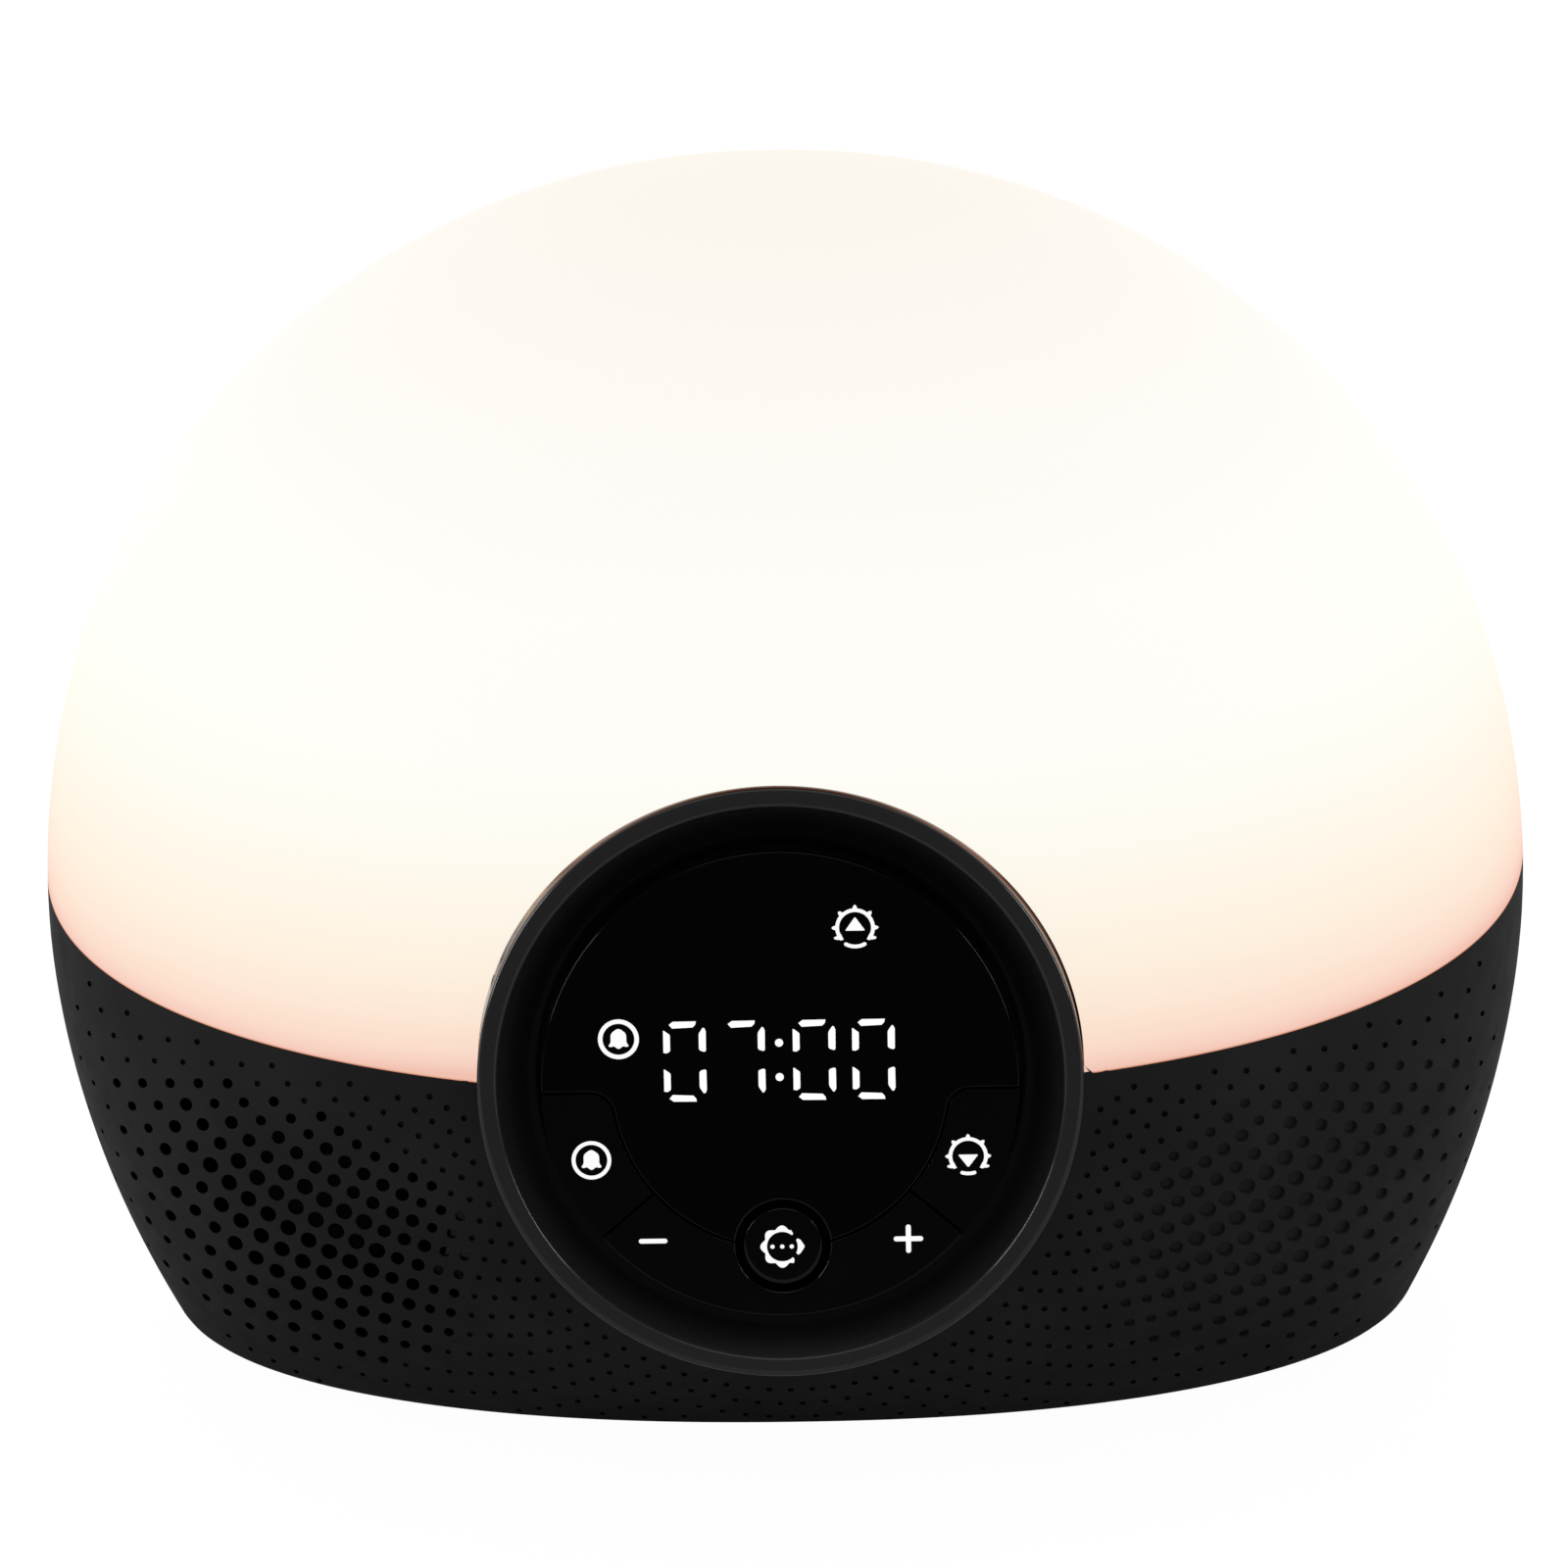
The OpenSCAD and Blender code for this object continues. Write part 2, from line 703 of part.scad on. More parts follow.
module dividers(w) {
    for (a = [-divider_angle, divider_angle - 180]) rotate(a) translate([15, -w / 2]) square([25, w]);
}

// The part of the plane between two angles below the dial's centre
module wedge(from, to) {
    far = 60;
    middle = (from + to) / 2;
    polygon([
        [0, 0], far * [cos(from), sin(from)], far * [cos(middle), sin(middle)], far * [cos(to), sin(to)]
    ]);
}

module side_key_plan(side) {
    intersection() {
        difference() {
            key_band(0);
            dividers(key_gap);
        }
        scale([side, 1]) wedge(-divider_angle, 5);
    }
}

module rocker_plan() {
    difference() {
        intersection() {
            difference() {
                key_band(0);
                dividers(key_gap + 0.1);
            }
            wedge(divider_angle - 180, -divider_angle);
        }
        translate(menu_at) circle(r = menu_hole_r);
    }
}

module window_plan() {
    difference() {
        circle(r = dial_r, $fn = 128);
        key_band(key_gap);
        translate(menu_at) circle(r = menu_hole_r);
    }
}

// ---------------------------------------------------------------- dial pieces

module dial_window() color(gloss_black) {
    on_dial() translate([0, 0, dial_back]) linear_extrude(cap_t) window_plan();
}

module guide_posts(places, r) {
    for (p = places) translate(p) disc(r, guide_back - 1, guide_top + 1);
}

module bearing_block(y0, y1, low, high) {
    difference() {
        translate([-1.8, y0, low]) cube([3.6, y1 - y0, high - low]);
        translate([0, y0 - 1, pivot_h]) rotate([-90, 0, 0])
            cylinder(r = pivot_r + pivot_play, h = y1 - y0 + 2);
    }
}

upper_post_at = [[16.7, 19.9], [-16.7, 19.9]];
lower_post_at = [[8.4, -25], [-8.4, -25]];
upper_bearing = [-menu_y + menu_hole_r + 1.5, -menu_y + menu_hole_r + 3];
lower_bearing = [-dial_r + skirt_t + gap, -dial_r + skirt_t + gap + 1.2];

module key_carrier() color(black_plastic) {
    on_dial() {
        difference() {
            union() {
                translate([0, 0, carrier_back]) linear_extrude(dial_back - carrier_back) window_plan();
                // Drum wall round the upper half, with the flange that the ring holds down
                intersection() {
                    union() {
                        tube(dial_r - skirt_t, dial_r, housing_top, carrier_back + 0.2);
                        tube(dial_r - skirt_t, housing_out, housing_top, carrier_flange_top);
                    }
                    translate([0, 40 + band_top + key_gap, 0]) slab(100, 80, -20, 10);
                }
                // Wall behind the keys' inner edge, and the plate that guides their posts
                intersection() {
                    union() {
                        tube(band_r - key_gap - 1.5, band_r - key_gap, guide_back, carrier_back + 0.2);
                        tube(18.8, dial_r - skirt_t - gap, guide_back, guide_top);
                    }
                    translate([0, band_top + key_gap - 40, 0]) slab(100, 80, -20, 10);
                }
                for (s = [-1, 1]) translate([s * 25.2, band_top + key_gap + 0.7, 0])
                    slab(8.8, 1.4, guide_back, carrier_back + 0.2);
                for (p = upper_post_at) translate(p) disc(2.4, board_top, carrier_back + 0.2);
                for (p = lower_post_at) translate(p) disc(2.4, board_top, guide_back + 0.2);
            }
            translate([display_x, digit_y, 0]) slab(display_w + 2 * gap, display_d + 2 * gap, -20, 10);
            translate(menu_at) disc(menu_hole_r + 1.6, guide_top, carrier_back);
            translate(menu_at) disc(menu_hole_r, dial_back - 4.6, 10);
            guide_posts([minus_at, plus_at, menu_at, alarm_key_at, sunset_key_at], 1.9);
            for (p = [alarm_light_at, sunrise_light_at]) translate(p) disc(3.5, -20, 10);
            for (p = concat(upper_post_at, lower_post_at)) translate(p)
                disc(screw_hole_r, board_top - 1, board_top + 4.5);
        }
        bearing_block(upper_bearing[0], upper_bearing[1], pivot_h - 1.8, carrier_back);
        bearing_block(lower_bearing[0], lower_bearing[1], guide_top, dial_back - 1.4);
    }
}

module post(at, lift = 0) {
    translate(at) {
        disc(1.5, post_end, dial_back);
        disc(2.3, post_end, snap_top - lift);
    }
}

// A key on one side: cap, drum skirt and the post that presses its switch
module side_key(side, at) {
    translate([0, 0, dial_back]) linear_extrude(cap_t) side_key_plan(side);
    translate([0, 0, skirt_back]) linear_extrude(dial_back - skirt_back) intersection() {
        difference() {
            circle(r = dial_r, $fn = 128);
            circle(r = dial_r - skirt_t, $fn = 128);
        }
        side_key_plan(side);
    }
    post(at);
}

module alarm_key() color(black_plastic) {
    on_dial() side_key(-1, alarm_key_at);
}

module sunset_key() color(black_plastic) {
    on_dial() side_key(1, sunset_key_at);
}

module minus_plus_rocker() color(black_plastic) {
    yoke_r = menu_hole_r + 1.2;
    on_dial() {
        translate([0, 0, dial_back]) linear_extrude(cap_t) rocker_plan();
        translate([0, 0, skirt_back]) linear_extrude(dial_back - skirt_back) intersection() {
            difference() {
                circle(r = dial_r, $fn = 128);
                circle(r = dial_r - skirt_t, $fn = 128);
            }
            rocker_plan();
        }
        post(minus_at, rocker_lift);
        post(plus_at, rocker_lift);
        // Yoke round the upper side of the menu key, and the two pivot pins
        intersection() {
            union() {
                translate(menu_at) tube(menu_hole_r, yoke_r, pivot_h - 1, pivot_h + 0.9);
                translate([0, 0, pivot_h]) linear_extrude(dial_back - pivot_h) intersection() {
                    rocker_plan();
                    translate(menu_at) circle(r = yoke_r);
                }
            }
            translate([0, lower_bearing[1] + gap + 10, 0]) slab(20, 20, -10, 10);
        }
        translate([0, -menu_y + menu_hole_r + 0.6, pivot_h]) rotate([-90, 0, 0])
            cylinder(r = pivot_r, h = 2.2);
        translate([0, -dial_r + 0.6, pivot_h]) rotate([-90, 0, 0])
            cylinder(r = pivot_r, h = skirt_t + gap + 0.6);
    }
}

module menu_key() color(black_plastic) {
    on_dial() {
        translate(menu_at) {
            disc(menu_r, dial_back, dial_rise);
            tube(menu_r - 1.3, menu_r, dial_back - 5.6, dial_back);
        }
        post(menu_at);
    }
}

module display_board() color(board_green) {
    on_dial() difference() {
        disc(dial_r, board_back, board_top);
        for (p = concat(upper_post_at, lower_post_at)) translate(p)
            disc(screw_pass_r, board_back - 1, board_top + 1);
    }
}

module tact_switches() color(steel) {
    on_dial() for (p = [alarm_key_at, minus_at, menu_at, plus_at, sunset_key_at]) translate(p) {
        slab(6, 6, board_top, switch_top - 0.8);
        disc(1.7, switch_top - 0.9, switch_top);
    }
}

module display_board_screws() color(steel) {
    on_dial() for (p = concat(upper_post_at, lower_post_at)) translate([p.x, p.y, board_back])
        screw(board_t + 4, 1.9);
}

module digit_display() color(gloss_black) {
    on_dial() translate([display_x, digit_y, 0])
        slab(display_w, display_d, display_low, display_front);
}

module display_spacer() color(white_plastic) {
    on_dial() translate([display_x, digit_y, 0]) difference() {
        slab(display_w, display_d, board_top, display_low);
        slab(display_w - 2 * spacer_wall, display_d - 2 * spacer_wall, board_top - 1, display_low + 1);
    }
}

module bar(length) {
    square([length - segment_w, segment_w], center = true);
    for (s = [-1, 1]) translate([s * (length - segment_w) / 2, 0]) circle(d = segment_w, $fn = 24);
}

module digit_segments() color([1, 1, 1]) {
    side = digit_h / 2 - segment_w - 0.3;
    across = digit_w - segment_w - 0.3;
    on_dial() translate([0, digit_y, display_front]) linear_extrude(1) {
        for (x = digit_x) translate([x, 0]) {
            for (y = [-1, 0, 1]) translate([0, y * (digit_h - segment_w) / 2]) bar(across);
            for (sx = [-1, 1], sy = [-1, 1])
                translate([sx * (digit_w + 0.3) / 2, sy * (digit_h - segment_w) / 4])
                    rotate(90) bar(side);
        }
        for (s = [-1, 1]) translate([colon_x, s * colon_half]) circle(d = 1.1, $fn = 24);
    }
}

module indicator_lights() color([1, 1, 1]) {
    on_dial() for (p = [alarm_light_at, sunrise_light_at]) translate(p)
        disc(3.2, board_top, dial_back - 0.2);
}

module front_ribbon() color(white_plastic) {
    c = cos(ring_tilt);
    s = sin(ring_tilt);
    start_h = board_back - 0.3;
    exit_y = -ring_fwd - 22 * s - start_h * c;
    exit_z = ring_z - 22 * c + start_h * s;
    back = [c, -s];
    in_body() ribbon([
        [exit_y, exit_z],
        [exit_y, exit_z] + 16 * back,
        [-26, 30],
        [-22.5, main_board_top + 3]
    ], 12);
}

// ---------------------------------------------------------------- main board

module main_board_corners() {
    for (x = [-standoff_x, standoff_x], y = [-standoff_y, standoff_y])
        translate([main_board_x + x, main_board_y + y, 0]) children();
}

module main_board() color(board_green) {
    in_body() difference() {
        translate([main_board_x, main_board_y, 0])
            slab(main_board_w, main_board_d, main_board_z, main_board_top);
        main_board_corners() disc(screw_pass_r, main_board_z - 1, main_board_top + 1);
    }
}

module main_board_screws() color(steel) {
    in_body() main_board_corners() translate([0, 0, main_board_top])
        rotate([180, 0, 0]) screw(board_t + 5);
}

// Ribbon sockets, power parts and chips, each a solid of its own
module board_parts() color([0.16, 0.16, 0.18]) {
    top = main_board_top;
    in_body() {
        translate([0, -19.5, 0]) slab(14, 4.6, top, top + 3.2);
        translate([24, 4, 0]) disc(4, top, top + 11);
        translate([34, 4, 0]) disc(4, top, top + 11);
        translate([36, -10, 0]) slab(10, 10, top, top + 4.5);
        translate([14, -6, 0]) slab(10, 10, top, top + 1.5);
        translate([-8, -6, 0]) slab(7, 9, top, top + 1.5);
        translate([-22, 2, 0]) slab(8, 6, top, top + 5);
    }
}

module power_jack() color(gloss_black) {
    in_body() translate([jack_x, jack_front_y - jack_len, jack_z]) difference() {
        union() {
            difference() {
                translate([-4.5, 0, -jack_h / 2]) cube([9, jack_len, jack_h]);
                translate([0, 3, 0]) rotate([-90, 0, 0]) cylinder(r = jack_bore_r, h = jack_len);
            }
            translate([0, 2, 0]) rotate([-90, 0, 0]) cylinder(r = jack_pin_r, h = jack_len - 4);
        }
    }
}

// ---------------------------------------------------------------- speaker

frame_front = speaker_seat - 0.5;
frame_back = frame_front - 1;
basket_back = frame_back - 6.5;
magnet_back = basket_back - 6;
cone_r = speaker_r - 5;

module speaker_gasket() color(rubber_grey) {
    on_speaker() tube(speaker_r - speaker_collar_t, speaker_r, frame_front, speaker_seat);
}

module speaker_frame() color(steel) {
    on_speaker() difference() {
        union() {
            rotate_extrude() polygon([
                [cone_r, frame_front], [speaker_r, frame_front],
                [speaker_r, frame_back], [cone_r + 1.6, frame_back],
                [12.5, basket_back], [5.5, basket_back], [5.5, basket_back + 1],
                [11.8, basket_back + 1], [cone_r, frame_back + 0.3]
            ]);
            for (a = speaker_ears) rotate(a) translate([speaker_screw_at, 0, 0])
                disc(2.8, frame_back, frame_front);
        }
        for (a = speaker_ears) rotate(a) translate([speaker_screw_at, 0, 0])
            disc(screw_pass_r, frame_back - 1, frame_front + 1);
        for (a = [45 : 90 : 315]) rotate(a) translate([cone_r - 1, 0, 0])
            slab(4, 9, basket_back + 1.6, frame_back - 0.9);
    }
}

module speaker_cone() color(rubber_grey) {
    on_speaker() rotate_extrude() polygon([
        [0, basket_back + 3.4], [4, basket_back + 2.6], [5, basket_back + 1.6],
        [cone_r - 3, frame_front - 1.2], [cone_r - 1.6, frame_front + 0.1],
        [cone_r - 0.3, frame_front - 0.6], [cone_r - 0.3, frame_front - 1],
        [cone_r - 1.6, frame_front - 0.4], [cone_r - 2.8, frame_front - 1.8],
        [4.6, basket_back + 1.1], [3.6, basket_back + 2.1], [0, basket_back + 2.9]
    ]);
}

module speaker_magnet() color(steel) {
    on_speaker() difference() {
        disc(12, magnet_back, basket_back);
        disc(3, magnet_back + 2, basket_back + 1);
    }
}

module speaker_screws() color(steel) {
    on_speaker() for (a = speaker_ears) rotate(a) translate([speaker_screw_at, 0, frame_back])
        screw(4.6, 1.9);
}

// ---------------------------------------------------------------- the whole part

diffuser_dome();
base_shell();
bottom_plate();
rubber_feet();
base_screws();
lamp_tray();
lamp_board();
lamp_leds();
lamp_board_screws();
lamp_ribbon();
bezel_ring();
face_housing();
bezel_screws();
housing_screws();
dial_window();
key_carrier();
alarm_key();
minus_plus_rocker();
menu_key();
sunset_key();
display_board();
tact_switches();
digit_display();
digit_segments();
display_spacer();
indicator_lights();
display_board_screws();
front_ribbon();
main_board();
board_parts();
power_jack();
main_board_screws();
speaker_frame();
speaker_cone();
speaker_magnet();
speaker_gasket();
speaker_screws();
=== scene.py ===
from collections import namedtuple
from math import acos, asin, atan2, cos, degrees, dist, hypot, pi, radians, sin, sqrt

import bmesh
import bpy
import numpy as np
from mathutils import Matrix, Vector
from mathutils.geometry import delaunay_2d_cdt


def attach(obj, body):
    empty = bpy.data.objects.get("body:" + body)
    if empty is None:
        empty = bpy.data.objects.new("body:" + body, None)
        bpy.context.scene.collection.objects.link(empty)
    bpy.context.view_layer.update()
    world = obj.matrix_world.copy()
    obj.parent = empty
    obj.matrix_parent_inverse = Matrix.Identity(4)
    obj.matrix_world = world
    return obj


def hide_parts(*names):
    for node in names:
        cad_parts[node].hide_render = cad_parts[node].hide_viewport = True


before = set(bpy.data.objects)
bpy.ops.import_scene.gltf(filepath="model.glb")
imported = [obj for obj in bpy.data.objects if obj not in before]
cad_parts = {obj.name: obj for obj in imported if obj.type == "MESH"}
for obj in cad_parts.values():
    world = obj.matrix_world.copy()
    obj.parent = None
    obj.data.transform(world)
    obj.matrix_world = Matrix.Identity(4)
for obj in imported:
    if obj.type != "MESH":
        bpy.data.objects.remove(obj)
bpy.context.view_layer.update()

# ------------ sizes, in mm as in the part

MM = 0.001
ROOT = "body"
BODY_W, BODY_H = 210.0, 181.0
WIDEST_Z, SEAM_Z, FOOT = 70.0, 77.0, 1.0
FRONT_D, BACK_D = 73.4, 36.0
BASE_W, BASE_FRONT, BASE_BACK = 179.6, 37.3, 28.0
PLAN, DOME_POWER, BASE_POWER, EDGE_R = 2.2, 2.02, 1.82, 4.0
RING_R, RING_FWD, RING_Z, TILT = 40.0, 77.0, 80.5, radians(15.5)
LIP_W, DISH = 2.65, 5.7
RING_BACK, RING_CUT = -DISH - 2.2, RING_R + 0.3
DIAL_R, DIAL_RISE, CAP_T, SKIRT_T = 31.5, 0.0, 2.0, 1.4
BAND_R, BAND_TOP, BAND_CORNER = 22.4, -0.9, 3.0
MENU_Y, MENU_R, MENU_HOLE_R = 21.95, 5.25, 6.25
INLET_R, INLET_Z, INLET_END = 5.25, 16.1, 24.5
DIAL_BACK = DIAL_RISE - CAP_T
SKIRT_BACK, POST_END, SNAP_TOP = DIAL_BACK - 10.1, DIAL_BACK - 9.9, DIAL_BACK - 8.9
POST_R, POST_FOOT_R, ROCKER_SNAP_LIFT = 1.5, 2.3, 0.36
SIN_T, COS_T = sin(TILT), cos(TILT)

# The gaps between the keys, and the angles on the dial's edge at which the side keys and the rocker end
KEY_GAP = 0.3
SIDE_HALF_GAP, ROCKER_HALF_GAP = KEY_GAP / 2, (KEY_GAP + 0.1) / 2
DIVIDER = radians(40.5)
SIDE_KEY_END = -DIVIDER + asin(SIDE_HALF_GAP / DIAL_R)
ROCKER_END = -DIVIDER - asin(ROCKER_HALF_GAP / DIAL_R)

# The skin is worked out from the widest line, which lies this far behind the row frame's origin
BODY_Y = (RING_FWD + max(RING_R * SIN_T, DIAL_R * SIN_T + DIAL_RISE * COS_T) - BACK_D) / 2
DIAL_CENTRE = np.array([0, -RING_FWD, RING_Z])
DIAL_NORMAL = np.array([0, -COS_T, SIN_T])


def on_dial(x, y, h=0.0):
    """A place on the dial, in mm, to the row frame in metres. h is outwards from the ring's lip."""
    return Vector((
        x,
        BODY_Y - RING_FWD + y * SIN_T - h * COS_T,
        RING_Z + y * COS_T + h * SIN_T,
    )) * MM


def to_row(points):
    """Points from the widest line, in mm, to the row frame in metres."""
    points = np.asarray(points, float).copy()
    points[..., 1] += BODY_Y
    return points * MM


# ------------ outline of the body

def half(z, big, small):
    """Half a width or depth at height z, from its size at the widest line and at the foot."""
    z = np.asarray(z, float)
    up = np.clip((z - WIDEST_Z) / (BODY_H - WIDEST_Z), 0, 1)
    share = np.power(np.maximum(1 - np.power(up, DOME_POWER), 0), 1 / DOME_POWER)
    down = np.clip((WIDEST_Z - z) / (WIDEST_Z - FOOT), 0, None)
    edge = np.clip(EDGE_R - (z - FOOT), 0, EDGE_R)
    inset = EDGE_R - np.sqrt(np.maximum(EDGE_R**2 - edge**2, 0))
    low = big - (big - small) * np.power(down, BASE_POWER) - inset
    return np.where(z >= WIDEST_Z, big * share, low)


def half_w(z):
    return half(z, BODY_W / 2, BASE_W / 2)


def half_d(z, front):
    return np.where(front, half(z, FRONT_D, BASE_FRONT), half(z, BACK_D, BASE_BACK))


def skin_point(s, z):
    """Points of the skin, from the widest line, at plan angle s (radians) and height z."""
    c, n = np.cos(s), np.sin(s)
    w, d = half_w(z), half_d(z, n < 0)
    x = np.sign(c) * w * np.abs(c) ** (2 / PLAN)
    y = np.sign(n) * d * np.abs(n) ** (2 / PLAN)
    return np.stack([x, y, np.broadcast_to(z, x.shape)], -1)


def skin(p):
    """Below zero inside the skin, and above it outside."""
    p = np.asarray(p, float)
    w, d = half_w(p[..., 2]), half_d(p[..., 2], p[..., 1] < 0)
    w, d = np.maximum(w, 1e-6), np.maximum(d, 1e-6)
    return np.abs(p[..., 0] / w) ** PLAN + np.abs(p[..., 1] / d) ** PLAN - 1


def skin_normal(p):
    p = np.asarray(p, float)
    step = 0.05
    grad = np.stack([
        skin(p + step * np.eye(3)[k]) - skin(p - step * np.eye(3)[k]) for k in range(3)
    ], -1)
    return grad / np.maximum(np.linalg.norm(grad, axis=-1, keepdims=True), 1e-9)


def plan_angle(p):
    """The plan angle of a point on or near the skin."""
    w, d = half_w(p[..., 2]), half_d(p[..., 2], p[..., 1] < 0)
    c = np.sign(p[..., 0]) * np.abs(p[..., 0] / w) ** (PLAN / 2)
    n = np.sign(p[..., 1]) * np.abs(p[..., 1] / d) ** (PLAN / 2)
    return np.arctan2(n, c)


def crossing(outside, inside, steps=30):
    """Where the lines from outside points to inside points go through the skin."""
    outside, inside = np.array(outside, float), np.array(inside, float)
    for _ in range(steps):
        middle = (outside + inside) / 2
        out = skin(middle) > 0
        outside = np.where(out[..., None], middle, outside)
        inside = np.where(out[..., None], inside, middle)
    return (outside + inside) / 2


def dial_radius(p):
    """Distance from the dial's axis of points from the widest line."""
    d = p - DIAL_CENTRE
    up = d[..., 1] * SIN_T + d[..., 2] * COS_T
    return np.hypot(d[..., 0], up)


def ring_curve(steps):
    """Where the round hole for the ring leaves the skin, as points from the widest line."""
    before, behind = 25, 45
    a = np.linspace(0, 2 * np.pi, steps, endpoint=False)
    rim = DIAL_CENTRE + RING_CUT * np.stack([np.cos(a), np.sin(a) * SIN_T, np.sin(a) * COS_T], -1)
    return crossing(rim + before * DIAL_NORMAL, rim - behind * DIAL_NORMAL)


# ------------ node materials

def srgb(r, g, b):
    def linear(v):
        v /= 255
        return v / 12.92 if v <= 0.04045 else ((v + 0.055) / 1.055) ** 2.4
    return (linear(r), linear(g), linear(b), 1.0)


class Tree:
    """Keeps node building short."""

    def __init__(self, tree):
        self.tree = tree
        self.tree.nodes.clear()

    def feed(self, socket, entry):
        """Links the socket to the entry if that is a socket too, and else sets its value."""
        if isinstance(entry, bpy.types.NodeSocket):
            self.tree.links.new(entry, socket)
        else:
            socket.default_value = entry

    def add(self, kind, inputs=None, **values):
        node = self.tree.nodes.new(kind)
        for key, value in values.items():
            setattr(node, key, value)
        for key, entry in (inputs or {}).items():
            self.feed(node.inputs[key], entry)
        return node

    def place(self):
        return self.add("ShaderNodeTexCoord").outputs["Object"]

    def combine(self, operation, a, b, **values):
        return self.add("ShaderNodeMath", {0: a, 1: b}, operation=operation, **values).outputs[0]

    def length(self, vector):
        return self.add("ShaderNodeVectorMath", {0: vector}, operation="LENGTH").outputs["Value"]

    def span(self, value, low, high, from_low=0.3, from_high=0.7):
        return self.add("ShaderNodeMapRange", {
            "Value": value, "From Min": from_low, "From Max": from_high, "To Min": low, "To Max": high,
        }).outputs[0]

    def noise(self, scale, detail=3.0, rough=0.5):
        return self.add("ShaderNodeTexNoise", {
            "Vector": self.place(), "Scale": scale, "Detail": detail, "Roughness": rough,
        }).outputs["Fac"]

    def ramp(self, value, stops):
        node = self.add("ShaderNodeValToRGB", {"Fac": value})
        points = node.color_ramp.elements
        while len(points) < len(stops):
            points.new(0.5)
        for point, (at, colour) in zip(points, stops):
            point.position = at
            point.color = colour
        return node.outputs["Color"]

    def bump(self, height, strength, distance, **base):
        return self.add("ShaderNodeBump", {
            "Height": height, "Strength": strength, "Distance": distance, **base,
        }).outputs["Normal"]

    def rays(self):
        """Rays from the camera, and rays that come by way of a mirror or glass."""
        path = self.add("ShaderNodeLightPath").outputs
        mirrored = self.combine("ADD", path["Is Glossy Ray"], path["Is Transmission Ray"], use_clamp=True)
        return path["Is Camera Ray"], mirrored


class Mat(Tree):
    """A material with one principled shader."""

    def __init__(self, name):
        self.mat = bpy.data.materials.new(name)
        self.mat.use_nodes = True
        super().__init__(self.mat.node_tree)
        self.bsdf = self.add("ShaderNodeBsdfPrincipled")
        self.out = self.add("ShaderNodeOutputMaterial", {0: self.bsdf.outputs[0]})

    def set(self, **entries):
        for key, entry in entries.items():
            self.feed(self.bsdf.inputs[key.replace("_", " ")], entry)

    def two_bumps(self, grain, fine, coarse):
        """Fine spark texture over faint flow marks."""
        under = self.bump(self.noise(grain, 2.0), fine, 0.00004)
        return self.bump(self.noise(90.0, 2.0), coarse, 0.0001, Normal=under)


def scaled(colour, k):
    return tuple(c * k for c in colour[:3]) + (1.0,)


def plastic(name, colour, rough, grain=2600.0, bump=0.12, spread=0.05, specular=0.5, mottle=0.12):
    """Moulded plastic: fine spark texture, faint flow marks, and small changes of gloss."""
    m = Mat(name)
    stops = [(0.35, scaled(colour, 1 - mottle)), (0.65, scaled(colour, 1 + mottle))]
    m.set(
        Specular_IOR_Level=specular, Base_Color=m.ramp(m.noise(55.0, 4.0), stops),
        Roughness=m.span(m.noise(240.0, 5.0), rough - spread, rough + spread),
    )
    if bump:
        m.set(Normal=m.two_bumps(grain, bump, bump * 0.5))
    return m.mat


def metal(name, colour, rough):
    m = Mat(name)
    stops = [(0.3, scaled(colour, 0.85)), (0.7, colour)]
    m.set(
        Metallic=1.0, Base_Color=m.ramp(m.noise(400.0, 3.0), stops),
        Roughness=m.span(m.noise(900.0, 3.0), rough - 0.08, rough + 0.1),
        Normal=m.bump(m.noise(1800.0, 2.0), 0.1, 0.00003),
    )
    return m.mat


def lit(name, colour, strength, body=(0.05, 0.05, 0.05, 1.0)):
    m = Mat(name)
    m.set(
        Base_Color=body, Emission_Color=colour, Emission_Strength=strength,
        Roughness=m.span(m.noise(600.0, 2.0), 0.35, 0.5),
    )
    return m.mat


# The ring's grey at shares of the way from the drum's wall to the ring's outer edge, with painted shade
# darker down in the dish and a painted shadow line at the outer edge, and the dome's colours at shares of
# its height over the seam
RING_PAINTED_SHADE_GREYS = ((0.0, 0.0022), (0.27, 0.0038), (0.45, 0.0082), (0.60, 0.0145), (0.68, 0.0152),
              (0.925, 0.0152), (0.975, 0.0080))
DOME_COLOURS = (
    (0.000, (242, 192, 174)), (0.012, (248, 206, 190)), (0.035, (252, 220, 202)), (0.080, (254, 231, 212)),
    (0.140, (255, 240, 222)), (0.210, (255, 246, 231)), (0.300, (255, 251, 240)), (0.420, (255, 254, 248)),
    (0.600, (255, 254, 249)), (0.760, (254, 250, 245)), (0.900, (252, 247, 241)), (1.000, (250, 245, 234)),
)


def ring_material():
    """Moulded plastic of the ring: satin on the lip, with painted shade darker down in the dish and a
    painted shadow line at its outer edge.
    """
    m = Mat("ring_plastic")
    turned = m.add("ShaderNodeMapping", {
        "Vector": m.place(), "Location": on_dial(0, 0), "Rotation": (-TILT, 0, 0),
    }, vector_type="TEXTURE")
    flat = m.add("ShaderNodeVectorMath", {0: turned.outputs[0], 1: (1, 0, 1)}, operation="MULTIPLY")
    share = m.span(m.length(flat.outputs[0]), 0.0, 1.0, (DIAL_R + 1) * MM, RING_R * MM)
    m.set(
        # Painted shade: the grey is darker down in the dish and in a thin painted shadow line at the outer
        # edge
        Base_Color=m.ramp(share, [(at, (grey, grey, grey + 0.0001, 1)) for at, grey in RING_PAINTED_SHADE_GREYS]),
        Specular_IOR_Level=0.3, Roughness=m.span(m.noise(240.0, 5.0), 0.15, 0.18),
        Normal=m.two_bumps(2600.0, 0.05, 0.03),
    )
    return m.mat


